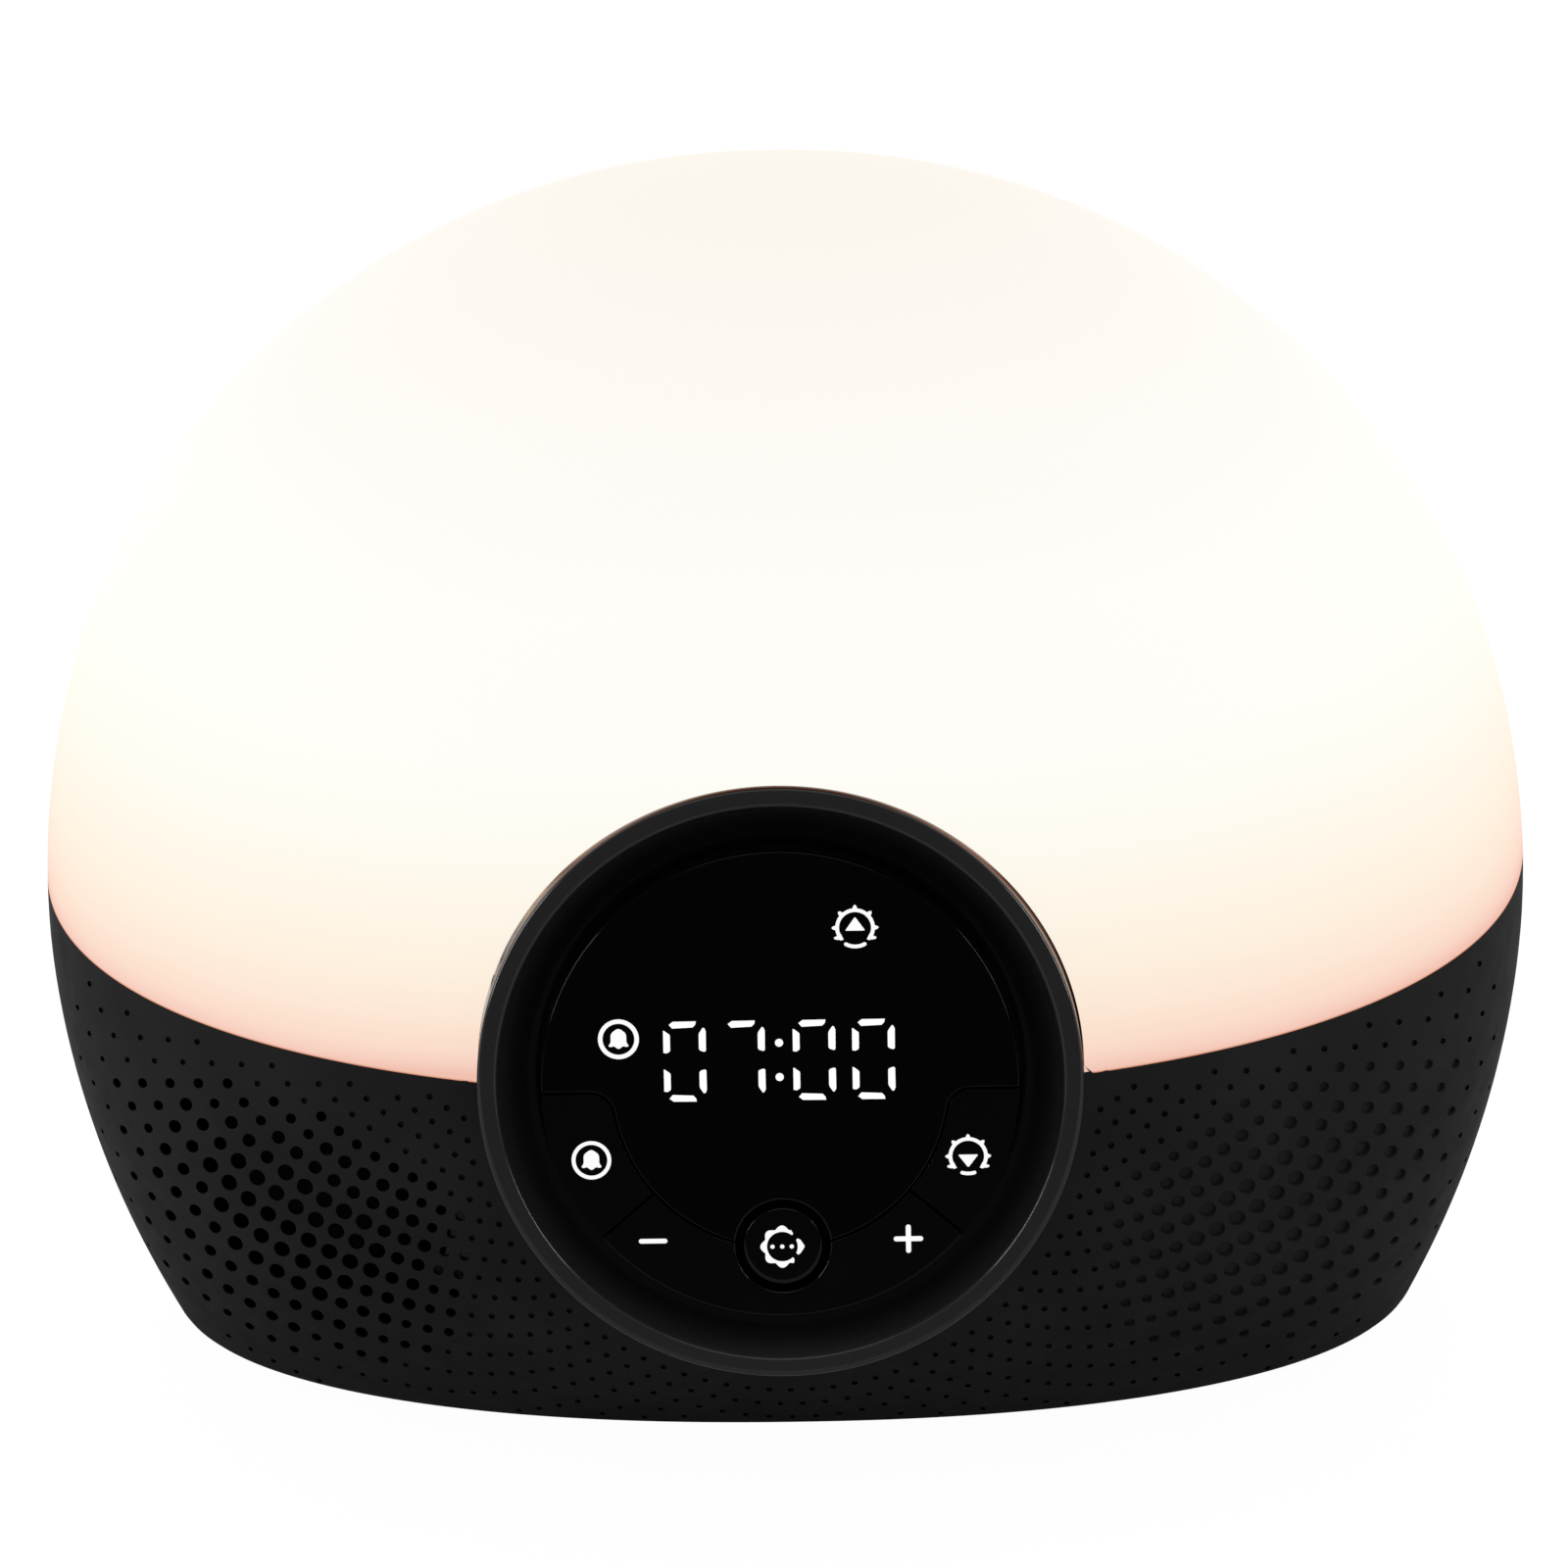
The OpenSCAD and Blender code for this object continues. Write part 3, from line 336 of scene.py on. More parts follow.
def dome_material():
    """Frosted plastic lit from inside: paler high up, warm and then rosy down to the seam."""
    m = Mat("frosted_dome")
    z = m.add("ShaderNodeSeparateXYZ", {0: m.place()}).outputs["Z"]
    height = m.combine("ADD", z, m.span(m.noise(14.0, 2.0, rough=0.4), -0.0012, 0.0012))
    share = m.span(height, 0.0, 1.0, SEAM_Z * MM, BODY_H * MM)
    glow = m.ramp(share, [(at, srgb(*colour)) for at, colour in DOME_COLOURS])
    # A thin line of deeper colour right above the seam
    over_rim = m.span(z, 0.0, 1.0, SEAM_Z * MM, (SEAM_Z + 0.3) * MM)
    rim = m.add("ShaderNodeMix", {0: over_rim, 6: srgb(206, 124, 84), 7: glow}, data_type="RGBA")
    m.set(
        Base_Color=(0.05, 0.048, 0.045, 1.0), Emission_Color=rim.outputs[2], Emission_Strength=0.945,
        Specular_IOR_Level=0.04, Roughness=m.span(m.noise(700.0, 3.0), 0.6, 0.7),
        Normal=m.bump(m.noise(2600.0, 2.0), 0.08, 0.00003),
    )
    return m.mat


M = {
    "base": plastic("base_plastic", (0.0127, 0.0127, 0.0129), 0.55, specular=0.05),
    "ring": ring_material(),
    "drum": plastic("drum_plastic", (0.003, 0.003, 0.0032), 0.34, specular=0.2, bump=0.05),
    "window": plastic("dial_gloss", (0.0003,) * 3, 0.1, specular=0.18, bump=0.0, spread=0.02),
    "key": plastic("key_gloss", (0.0007,) * 3, 0.13, specular=0.22, bump=0.02, spread=0.02),
    "dome": dome_material(),
    "dome_edge": lit("dome_edge_glow", srgb(214, 140, 104), 0.8),
    "print": lit("sign_white", srgb(252, 252, 252), 0.95),
    "segment": lit("segment_white", srgb(255, 255, 255), 1.0),
    "rubber": plastic("foot_rubber", (0.02,) * 3, 0.8, grain=1500.0, bump=0.3),
    "steel": metal("zinc_steel", (0.6, 0.6, 0.62, 1.0), 0.34),
    "dark_metal": metal("speaker_metal", (0.04, 0.04, 0.042, 1.0), 0.5),
    "white": plastic("reflector_white", (0.8, 0.8, 0.78), 0.35, bump=0.05),
    "board_white": plastic("white_mask", (0.84, 0.84, 0.82), 0.3, bump=0.05),
    "board_green": plastic("green_mask", (0.02, 0.12, 0.05), 0.3, bump=0.08, mottle=0.25),
    "led": lit("led_warm", srgb(255, 214, 150), 1.0, (0.5, 0.4, 0.25, 1.0)),
    "ribbon": plastic("ribbon_cable", (0.7, 0.7, 0.68), 0.5, grain=900.0, bump=0.2),
    "black_parts": plastic("moulded_black", (0.015, 0.015, 0.016), 0.45, grain=1800.0, bump=0.2),
    "paper": plastic("cone_fibre", (0.007,) * 3, 0.85, grain=700.0, bump=0.5),
}

# ------------ mesh helpers


def placed(name, data):
    obj = bpy.data.objects.new(name, data)
    bpy.context.scene.collection.objects.link(obj)
    return obj


def mesh_object(name, verts, faces, material, smooth=True):
    mesh = bpy.data.meshes.new(name)
    mesh.from_pydata([tuple(v) for v in verts], [], [tuple(f) for f in faces])
    mesh.validate()
    mesh.polygons.foreach_set("use_smooth", [smooth] * len(mesh.polygons))
    mesh.materials.append(material)
    return placed(name, mesh)


def piece(name, verts, faces, material, slot, body=ROOT, stands_for=(), smooth=True):
    obj = mesh_object(name, verts, faces, material, smooth)
    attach(obj, body)
    if stands_for:
        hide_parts(*stands_for)
    return obj


def smooth_below(mesh, angle):
    """Smooth shading, but for edges sharper than this angle in degrees."""
    mesh.polygons.foreach_set("use_smooth", [True] * len(mesh.polygons))
    mesh.set_sharp_from_angle(angle=radians(angle))


def shade_by_form(obj, form):
    """Each corner takes the form's own normal."""
    mesh = obj.data
    co = np.empty(len(mesh.vertices) * 3)
    mesh.vertices.foreach_get("co", co)
    rel = co.reshape(-1, 3) / MM
    rel[:, 1] -= BODY_Y
    corners = np.empty(len(mesh.loops), int)
    mesh.loops.foreach_get("vertex_index", corners)
    mesh.normals_split_custom_set([tuple(n) for n in form(rel)[corners]])


def strips(count, levels, start=0):
    """Faces between closed rows of as many vertices, one row after the other."""
    return [
        (row + i, row + (i + 1) % count, row + count + (i + 1) % count, row + count + i)
        for row in range(start, start + (levels - 1) * count, count) for i in range(count)
    ]


def revolve(profile, turns, centre=(0.0, 0.0)):
    """A profile of (radius, height) turned about the dial's axis, or one beside it."""
    verts = []
    for i in range(turns):
        a = 2 * pi * i / turns
        for r, h in profile:
            x, y = centre[0] + r * cos(a), centre[1] + r * sin(a)
            verts.append(on_dial(x, y, h(a) if callable(h) else h))
    n = len(profile)
    faces = [
        (i * n + k, (i + 1) % turns * n + k, (i + 1) % turns * n + k + 1, i * n + k + 1)
        for i in range(turns) for k in range(n - 1)
    ]
    return verts, faces


def arc(cx, cy, r, start, stop, steps):
    return [
        (cx + r * cos(start + (stop - start) * i / steps),
         cy + r * sin(start + (stop - start) * i / steps))
        for i in range(steps + 1)
    ]


def circle(x, y, r, steps):
    """A closed circle. Its last point repeats the first."""
    return arc(x, y, r, 0, 2 * pi, steps)


def without_repeats(points):
    kept = []
    for p in points:
        if not kept or dist(p, kept[-1]) > 1e-4:
            kept.append(p)
    if dist(kept[0], kept[-1]) <= 1e-4:
        kept.pop()
    return kept


def pairs(points):
    """Each point of a closed outline with the next."""
    return zip(points, points[1:] + points[:1])


def area(points):
    return sum(a[0] * b[1] - b[0] * a[1] for a, b in pairs(points)) / 2


def inside(points, x, y):
    odd = False
    for (x1, y1), (x2, y2) in pairs(points):
        if (y1 > y) != (y2 > y) and x < (x2 - x1) * (y - y1) / (y2 - y1) + x1:
            odd = not odd
    return odd


TRIANGLES, WHOLE = 0, 2  # what delaunay_2d_cdt gives back


def fill(loops, output):
    """Points and faces within the first outline and outside the others."""
    flat, edges = [], []
    for points in loops:
        start, count = len(flat), len(points)
        flat += [Vector(p) for p in points]
        edges += [(start + i, start + (i + 1) % count) for i in range(count)]
    co, _, faces, _, _, _ = delaunay_2d_cdt(flat, edges, [], output, 1e-6)

    def wanted(face):
        x, y = (sum(co[i][k] for i in face) / len(face) for k in (0, 1))
        return inside(loops[0], x, y) and not any(inside(hole, x, y) for hole in loops[1:])

    return co, [face for face in faces if wanted(face)]


def plate(name, outline, low, high, material, slot, body=ROOT, stands_for=(), edge=0.22, wide=None):
    """A plate on the dial from a closed outline, with a soft front edge.

    wide is a circle (x, y, r, edge) along which the edge is softer.
    """
    outline = without_repeats(outline)
    if area(outline) < 0:
        outline.reverse()
    co, keep = fill([outline], WHOLE)
    bm = bmesh.new()
    top = [bm.verts.new(on_dial(p.x, p.y, high)) for p in co]
    base = [bm.verts.new(on_dial(p.x, p.y, low)) for p in co]
    used = {}
    for face in keep:
        bm.faces.new([top[i] for i in face])
        bm.faces.new([base[i] for i in reversed(face)])
        for side in pairs(list(face)):
            used[side] = True
    rims = [(a, b) for a, b in used if (b, a) not in used]
    for a, b in rims:
        bm.faces.new((top[b], top[a], base[a], base[b]))
    for v in [v for v in bm.verts if not v.link_faces]:
        bm.verts.remove(v)
    bm.normal_update()
    bmesh.ops.recalc_face_normals(bm, faces=bm.faces)
    soft, softer = [], []
    for a, b in rims:
        on_circle = wide and all(
            abs(dist((co[i].x, co[i].y), wide[:2]) - wide[2]) < 0.02 for i in (a, b))
        (softer if on_circle else soft).append(bm.edges.get((top[a], top[b])))
    for group, width in ((softer, wide[3] if wide else 0), (soft, edge)):
        group = [e for e in group if e and e.is_valid]
        if group and width:
            bmesh.ops.bevel(
                bm, geom=group, offset=width * MM, offset_type="OFFSET", segments=4, profile=0.5,
                affect="EDGES", clamp_overlap=True,
            )
    obj = piece(name, [], [], material, slot, body, stands_for)
    mesh = obj.data
    bm.to_mesh(mesh)
    bm.free()
    smooth_below(mesh, 38)
    # The flat faces keep their own normal right up to the soft edge
    out = Vector(DIAL_NORMAL)
    flat = {}
    for poly in mesh.polygons:
        if abs(poly.normal @ out) > 0.9999:
            for v in poly.vertices:
                flat[v] = out if poly.normal @ out > 0 else -out
    normals = []
    for poly in mesh.polygons:
        for v in poly.vertices:
            n = flat.get(v)
            normals.append(tuple(n) if n and poly.normal @ n > 0.75 else (0.0, 0.0, 0.0))
    mesh.normals_split_custom_set(normals)


# ------------ grille dots

# A lattice of rings and spokes about the dial, laid on a slanted plane and carried on to the skin
GRILLE_TILT = radians(30)
GRILLE_AXIS = np.array([0.0, -cos(GRILLE_TILT), sin(GRILLE_TILT)])
GRILLE_R, GRILLE_STEP, GRILLE_SPOKES, GRILLE_RINGS, GRILLE_REACH = 42.6, 2.19, 89, 27, 29
GRILLE_LOW, GRILLE_HIGH, LEAST_FACING = FOOT + EDGE_R - 0.4, SEAM_Z - 2.6, 0.12
GRILLE_START, RING_MARGIN = 30, 1.1
# The patch of larger dots at each side: an oval drawn out towards its upper outer corner
PATCH_X, PATCH_Y, PATCH_SLOPE = 67.6, 19.5, radians(18.7)
PATCH_A, PATCH_B = 26.2, 18.0
PATCH_CORNER, PATCH_REACH = 2.54, 0.37
PATCH_SIZES = (("large", 0.484), ("medium", 0.77), ("small", 1))
DRAW_TILT, DRAW_LEAST = radians(26), 0.55
DRAW = np.array([0.0, -cos(DRAW_TILT), sin(DRAW_TILT)])
HOLE = {"large": 2.35, "medium": 1.9, "small": 1.45, "tiny": 0.86}
HOLE_SIDES = {"large": 20, "medium": 18, "small": 16, "tiny": 10}
HOLE_RIM = 0.09
CLOSED_DEPTH, TINY_DEPTH, THROUGH = 0.55, 0.8, 2.6

# circle is the dot's outline for a radius of 1 mm, slid along the axis into the skin
Dot = namedtuple("Dot", "place normal kind side axis circle")


def patch_share(u, v, side):
    x, y = -side * u + PATCH_X, v + PATCH_Y
    c, s = cos(PATCH_SLOPE), sin(PATCH_SLOPE)
    x, y = (x * c - y * s) / PATCH_A, (x * s + y * c) / PATCH_B
    share = hypot(x, y)
    lean = max(0.0, (x * cos(PATCH_CORNER) + y * sin(PATCH_CORNER)) / share)
    return share / (1 + PATCH_REACH * lean**10)


def draw_axis(n):
    """The dots run the way the mould's pins draw, turned to the skin's normal where it leans away."""
    along = n @ DRAW
    if along >= DRAW_LEAST:
        return DRAW
    across = DRAW - along * n
    return DRAW_LEAST * n + sqrt(1 - DRAW_LEAST**2) * across / np.linalg.norm(across)


def dot_circle(n, axis, count):
    across = np.cross(axis, [0, 0, 1.0])
    across /= np.linalg.norm(across)
    up = np.cross(across, axis)
    a = np.arange(count) * 2 * np.pi / count
    circle = np.outer(np.cos(a), across) + np.outer(np.sin(a), up)
    return circle - np.outer(circle @ n / (axis @ n), axis)


def grille_dots():
    dots = []
    for k in range(GRILLE_RINGS):
        r = GRILLE_R + k * GRILLE_STEP
        # Every second ring is half a step on, with one spoke less
        for j in range(-GRILLE_REACH, GRILLE_REACH + 1 - k % 2):
            a = radians(-90 + (j + (k % 2) / 2) * 360 / GRILLE_SPOKES)
            u, v = r * cos(a), r * sin(a)
            q = DIAL_CENTRE + np.array([u, v * sin(GRILLE_TILT), v * cos(GRILLE_TILT)])
            deep = q + GRILLE_AXIS * q[1] / cos(GRILLE_TILT)
            if skin(deep) >= 0:
                continue
            p = crossing(q + GRILLE_AXIS * GRILLE_START, deep)
            n = skin_normal(p)
            if not GRILLE_LOW < p[2] < GRILLE_HIGH or n @ GRILLE_AXIS < LEAST_FACING:
                continue
            if dial_radius(p) < RING_CUT + RING_MARGIN:
                continue
            side = 1 if u > 0 else -1
            share = patch_share(u, v, side)
            kind = next((size for size, limit in PATCH_SIZES if share < limit), "tiny")
            axis = draw_axis(n)
            dots.append(Dot(p, n, kind, side, axis, dot_circle(n, axis, HOLE_SIDES[kind])))
    return dots


# ------------ base shell

# The skin is meshed on a flat chart of plan angle and height. It's cut open at the back, beside the inlet
CHART_SCALE = 1.45
BASE_CUT, TURNS = 0.5 * pi + 0.5, 288
BASE_TURN = np.linspace(BASE_CUT - 2 * pi, BASE_CUT, TURNS + 1)
INLET_TURN = np.linspace(0, 2 * pi, 72, endpoint=False)
INLET_RIM, EDGE_LIP, RIM_LIP, SEAM_MARGIN = 0.35, 3.4, 1.3, 1.5
# No grid point lies nearer than this to the inlet or to a dot, where it would spoil the rim
INLET_CLEAR, DOT_CLEAR = 0.9, 0.55
# Whose a point of the chart is, for those of no dot
OUTLINE, GRID, NEW = -1, -2, -3


def chart_point(s, v):
    return Vector((degrees(s) * CHART_SCALE, float(v)))


def unroll(s, cut):
    return np.where(s > cut, s - 2 * pi, s)


def kept_run(curve, keep):
    """The one run of a closed curve that is kept."""
    start = next(i for i in range(len(curve)) if keep[i] and not keep[i - 1])
    return np.roll(curve, -start, axis=0)[: int(keep.sum())]


def mesh_chart(points, edges, height=lambda v: v):
    """Triangles of the chart, as places on the skin. Those in the ring's hole are told apart."""
    co, _, tris, origin, _, _ = delaunay_2d_cdt(points, edges, [], TRIANGLES, 1e-5)
    co = np.array([[c.x, c.y] for c in co])
    place = skin_point(np.radians(co[:, 0] / CHART_SCALE), height(co[:, 1]))
    tris = np.array([t for t in tris if len(t) == 3])
    middle = place[tris].mean(1)
    in_ring = (dial_radius(middle) < RING_CUT + 0.005) & (middle[:, 1] < 0)
    return co, place, tris, middle, in_ring, origin


def outward(place, tris):
    """The triangles as faces that look out of the skin."""
    a, b, c = (place[tris[:, k]] for k in range(3))
    facing = (np.cross(b - a, c - a) * skin_normal((a + b + c) / 3)).sum(1)
    return [tuple(t) if good > 0 else tuple(t[::-1]) for t, good in zip(tris, facing)]


def base_piece(name, verts, faces, **more):
    return piece(name, verts, faces, M["base"], "black_plastic", **more)


def inlet_ring(r):
    x, z = r * np.cos(INLET_TURN), INLET_Z + r * np.sin(INLET_TURN)
    share = np.sign(x) * np.abs(x / half_w(z)) ** (PLAN / 2)
    return skin_point(np.arccos(share), z)


def by_inlet(places, r):
    return (np.hypot(places[:, 0], places[:, 2] - INLET_Z) < r) & (places[:, 1] > 0)


def crowded(where, dots):
    """Which grid points of the chart lie in or too near a dot or the inlet."""
    near = by_inlet(skin_point(np.radians(where[:, 0] / CHART_SCALE), where[:, 1]), INLET_R + INLET_CLEAR)
    step = 0.01
    for d in dots:
        # A degree of plan angle spans a different length at each place
        x, z = degrees(float(unroll(plan_angle(d.place), BASE_CUT))) * CHART_SCALE, d.place[2]
        s = radians(x / CHART_SCALE)
        a, b = skin_point(np.array([s - step, s + step]), np.array([z, z]))
        per = np.linalg.norm(a - b) / (degrees(2 * step) * CHART_SCALE)
        reach = HOLE[d.kind] / 2 / (d.axis @ d.normal) + DOT_CLEAR
        near |= np.hypot((where[:, 0] - x) * per, where[:, 1] - z) < reach
    return near


def base_skin(dots):
    flat, edges, owner = [], [], []

    def line(s, z, tag, closed=False):
        start, count = len(flat), len(s)
        flat.extend(chart_point(a, b) for a, b in zip(s, z))
        owner.extend([tag] * count)
        steps = range(count if closed else count - 1)
        edges.extend((start + i, start + (i + 1) % count) for i in steps)

    for z in (SEAM_Z, FOOT):
        line(BASE_TURN, np.full(BASE_TURN.shape, z), OUTLINE)
    rows = list(FOOT + EDGE_R * (1 - np.cos(np.linspace(0, pi / 2, 7)[1:])))
    rows += list(np.linspace(FOOT + EDGE_R, SEAM_Z, 27)[1:-1])
    for z in rows:
        flat += [chart_point(s, z) for s in BASE_TURN]
        owner += [OUTLINE] + [GRID] * (TURNS - 1) + [OUTLINE]
    heights = [FOOT] + rows + [SEAM_Z]
    for end in (BASE_TURN[0], BASE_TURN[-1]):
        for z in zip(heights[:-1], heights[1:]):
            line((end, end), z, OUTLINE)
    curve = ring_curve(240)
    curve = kept_run(curve, curve[:, 2] < SEAM_Z + SEAM_MARGIN)
    line(unroll(plan_angle(curve), BASE_CUT), curve[:, 2], OUTLINE)
    inlet = inlet_ring(INLET_R + INLET_RIM)
    line(plan_angle(inlet), inlet[:, 2], OUTLINE, True)
    for tag, d in enumerate(dots):
        ring = d.place + (HOLE[d.kind] / 2 + HOLE_RIM) * d.circle
        line(unroll(plan_angle(ring), BASE_CUT), ring[:, 2], tag, True)

    grid = [i for i, o in enumerate(owner) if o == GRID]
    near = crowded(np.array([[flat[i].x, flat[i].y] for i in grid]), dots)
    drop = {grid[i] for i in np.nonzero(near)[0]}
    kept = [i for i in range(len(flat)) if i not in drop]
    index = {old: new for new, old in enumerate(kept)}
    edges = [(index[a], index[b]) for a, b in edges]
    _, place, tris, middle, in_ring, origin = mesh_chart([flat[i] for i in kept], edges)
    tags = np.array([max((owner[kept[i]] for i in o), default=NEW) for o in origin])[tris]
    in_dot = (tags[:, 0] >= 0) & (tags == tags[:, :1]).all(1)
    tris = tris[~in_dot & ~in_ring & ~by_inlet(middle, INLET_R + INLET_RIM - 0.01)]
    outer = base_piece("base_skin", to_row(place), outward(place, tris), stands_for=["base_shell"])
    shade_by_form(outer, skin_normal)


def dot_walls(dots):
    """Soft rim, wall and floor of every dot."""
    verts, faces = [], []
    for d in dots:
        r, count, start = HOLE[d.kind] / 2, len(d.circle), len(verts)
        tiny = d.kind == "tiny"
        through = d.side < 0 and not tiny
        way = d.axis if through or tiny else d.normal
        depth = THROUGH if through else TINY_DEPTH if tiny else CLOSED_DEPTH
        levels = ((r + HOLE_RIM, 0.0), (r + 0.025, 0.03), (r, 0.12), (r * 0.97, depth))
        for radius, down in levels:
            ring = d.place + radius * d.circle
            verts += list(to_row(skin_point(plan_angle(ring), ring[:, 2]) - down * way))
        faces += strips(count, len(levels), start)
        if not through:
            faces.append(tuple(range(len(verts) - count, len(verts))))
    smooth_below(base_piece("grille_dots", verts, faces).data, 50)


def inlet_bore():
    """Softened mouth and bore of the inlet."""
    mouth = inlet_ring(INLET_R)
    bore = mouth.copy()
    bore[:, 1] = INLET_END
    rim, soft = inlet_ring(INLET_R + INLET_RIM), inlet_ring(INLET_R + 0.1) - [0, 0.09, 0]
    levels = [rim, soft, mouth - [0, 0.35, 0], bore]
    base_piece("inlet_bore", to_row(np.vstack(levels)), strips(len(INLET_TURN), len(levels)))


def base_edge():
    """Underside of the rolled bottom edge."""
    bottom = skin_point(BASE_TURN[:-1], np.full(TURNS, FOOT))
    inner = bottom.copy()
    inner[:, 0] *= (half_w(FOOT) - EDGE_LIP) / half_w(FOOT)
    inner[:, 1] *= (half_d(FOOT, True) - EDGE_LIP) / half_d(FOOT, True)
    faces = [(a, d, c, b) for a, b, c, d in strips(TURNS, 2)]
    base_piece("base_edge", to_row(np.vstack([bottom, inner])), faces)


def base_rim():
    """The base's top rim, turned in under the dome and left out where the ring is."""
    count = 360
    outer = skin_point(np.linspace(-pi, pi, count, endpoint=False), np.full(count, SEAM_Z))
    inner = outer.copy()
    inner[:, :2] *= 1 - RIM_LIP / np.hypot(outer[:, 0], outer[:, 1])[:, None]
    verts = np.vstack([outer, inner])

    def in_ring(face):
        return dial_radius(verts[list(face)].mean(0)) < RING_CUT + 0.3 and verts[face[0], 1] < 0

    base_piece("base_rim", to_row(verts), [f for f in strips(count, 2) if not in_ring(f)])


# ------------ dome

CROWN_ANGLE, CROWN_SOFT, DOME_WALL = radians(89.2), 0.4, 2.4


def dome():
    # The chart's rows lie an even angle apart
    rise = 1.6
    turn = np.linspace(-1.5 * pi, 0.5 * pi, TURNS + 1)
    angles = np.linspace(asin((SEAM_Z - WIDEST_Z) / (BODY_H - WIDEST_Z)), CROWN_ANGLE, 66)
    rows = np.degrees(angles) * rise

    def height(v):
        return WIDEST_Z + (BODY_H - WIDEST_Z) * np.sin(np.radians(v / rise))

    flat = [chart_point(s, v) for v in rows for s in turn]
    edges, width, last = [], TURNS + 1, len(rows) - 1
    for j in (0, last):
        edges += [(j * width + i, j * width + i + 1) for i in range(TURNS)]
    for i in (0, TURNS):
        edges += [(j * width + i, (j + 1) * width + i) for j in range(last)]
    whole = ring_curve(360)
    curve = kept_run(whole, whole[:, 2] > SEAM_Z - SEAM_MARGIN)
    up = np.degrees(np.arcsin((curve[:, 2] - WIDEST_Z) / (BODY_H - WIDEST_Z))) * rise
    first = len(flat)
    flat += [chart_point(s, v) for s, v in zip(unroll(plan_angle(curve), 0.5 * pi), up)]
    edges += [(first + i, first + i + 1) for i in range(len(curve) - 1)]
    co, place, tris, _, in_ring, _ = mesh_chart(flat, edges, height)
    tris = tris[~(in_ring | (co[tris].mean(1)[:, 1] < rows[0] - 1e-3))]
    # A cap closes the crown
    verts = list(to_row(place)) + [to_row(np.array([0, 0, BODY_H - 0.002]))]
    crown = np.nonzero(np.abs(co[:, 1] - rows[-1]) < 1e-3)[0]
    crown = crown[np.argsort(co[crown, 0])][:-1].tolist()
    faces = outward(place, tris) + [(a, b, len(place)) for a, b in pairs(crown)]
    obj = piece("lit_dome", verts, faces, M["dome"], "frosted_diffuser", stands_for=["diffuser_dome"])

    def form(p):
        n = skin_normal(np.minimum(p, [1e9, 1e9, BODY_H - 0.35]))
        up = np.clip((p[:, 2:3] - (BODY_H - CROWN_SOFT)) / CROWN_SOFT, 0, 1)
        n = n * (1 - up) + np.array([0, 0, 1.0]) * up
        return n / np.linalg.norm(n, axis=1, keepdims=True)

    shade_by_form(obj, form)
    # Cut edge of the wall round the ring
    over = whole[:, 2] > SEAM_Z
    faces = [f for f in strips(len(whole), 2) if over[f[0]] and over[f[1]]]
    verts = to_row(np.vstack([whole, whole - DIAL_NORMAL * DOME_WALL]))
    piece("dome_edge", verts, faces, M["dome_edge"], "frosted_diffuser")


# ------------ ring

def ring():
    lip_in, flat = RING_R - LIP_W, -0.003
    gap, ledge = 0.55, 0.65
    hole = DIAL_R + gap
    floor = hole + ledge
    wall_y = 62.5  # how far before the widest line the ring's outer wall ends

    def wall_end(a):
        y = RING_R * sin(a)
        return min(RING_BACK, -((RING_FWD - wall_y) - y * SIN_T) / COS_T)

    soft, roll, steps = 0.75, 0.65, 30
    profile = [(RING_R, wall_end), (RING_R, -7.8), (RING_R, -1.2)]
    for t in map(radians, range(0, 91, 10)):
        profile.append((RING_R - soft + soft * cos(t), -soft + soft * sin(t)))
    profile += [(RING_R - soft - 0.25, flat), (lip_in + roll + 0.2, flat)]
    for t in map(radians, range(0, 81, 8)):
        profile.append((lip_in + roll - roll * sin(t), flat - roll * (1 - cos(t))))
    for i in range(1, steps + 1):
        a = radians(90 * (1 - i / steps))
        if DISH * cos(a) > roll + 0.15:
            profile.append((floor + (lip_in - floor) * sin(a), -DISH * cos(a)))
    profile += [(hole + 0.15, -DISH), (hole, -DISH - 0.15), (hole, RING_BACK)]
    verts, faces = revolve(profile, TURNS)
    obj = piece("dished_ring", verts, faces, M["ring"], "ring_plastic", stands_for=["bezel_ring"])
    smooth_below(obj.data, 50)


# ------------ dial outlines

def corner(grow):
    """The rounded corner at the band's top: its centre and radius, then the band's arc and its top."""
    cy = BAND_TOP - BAND_CORNER
    cx = sqrt((BAND_R + BAND_CORNER) ** 2 - cy * cy)
    return cx, cy, BAND_CORNER + grow, BAND_R - grow, BAND_TOP + grow


def hole_meets(radius):
    """Where an arc about the dial meets the menu key's hole, as angles about the hole and the dial."""
    cos_cut = (MENU_Y**2 + MENU_HOLE_R**2 - radius**2) / (2 * MENU_Y * MENU_HOLE_R)
    start = pi / 2 - acos(max(-1, min(1, cos_cut)))
    x, y = MENU_HOLE_R * cos(start), -MENU_Y + MENU_HOLE_R * sin(start)
    return start, atan2(y, x)


def side_key_outline(side):
    cx, cy, r, inner, top = corner(0)
    touch = atan2(cy, cx)
    points = arc(0, 0, DIAL_R, SIDE_KEY_END, asin(top / DIAL_R), 48)
    points += [(cx, top)]
    points += arc(cx, cy, r, pi / 2, pi + touch, 14)
    points += arc(0, 0, inner, touch, -DIVIDER + asin(SIDE_HALF_GAP / inner), 36)
    return [(side * x, y) for x, y in points]


def rocker_outline():
    inner_end = -DIVIDER - asin(ROCKER_HALF_GAP / BAND_R)
    start, stop = hole_meets(BAND_R)
    points = arc(0, 0, DIAL_R, -pi - ROCKER_END, ROCKER_END, 140)
    points += arc(0, 0, BAND_R, inner_end, stop, 30)
    points += arc(0, -MENU_Y, MENU_HOLE_R, start, -pi - start, 60)
    points += arc(0, 0, BAND_R, -pi - stop, -pi - inner_end, 30)
    return points


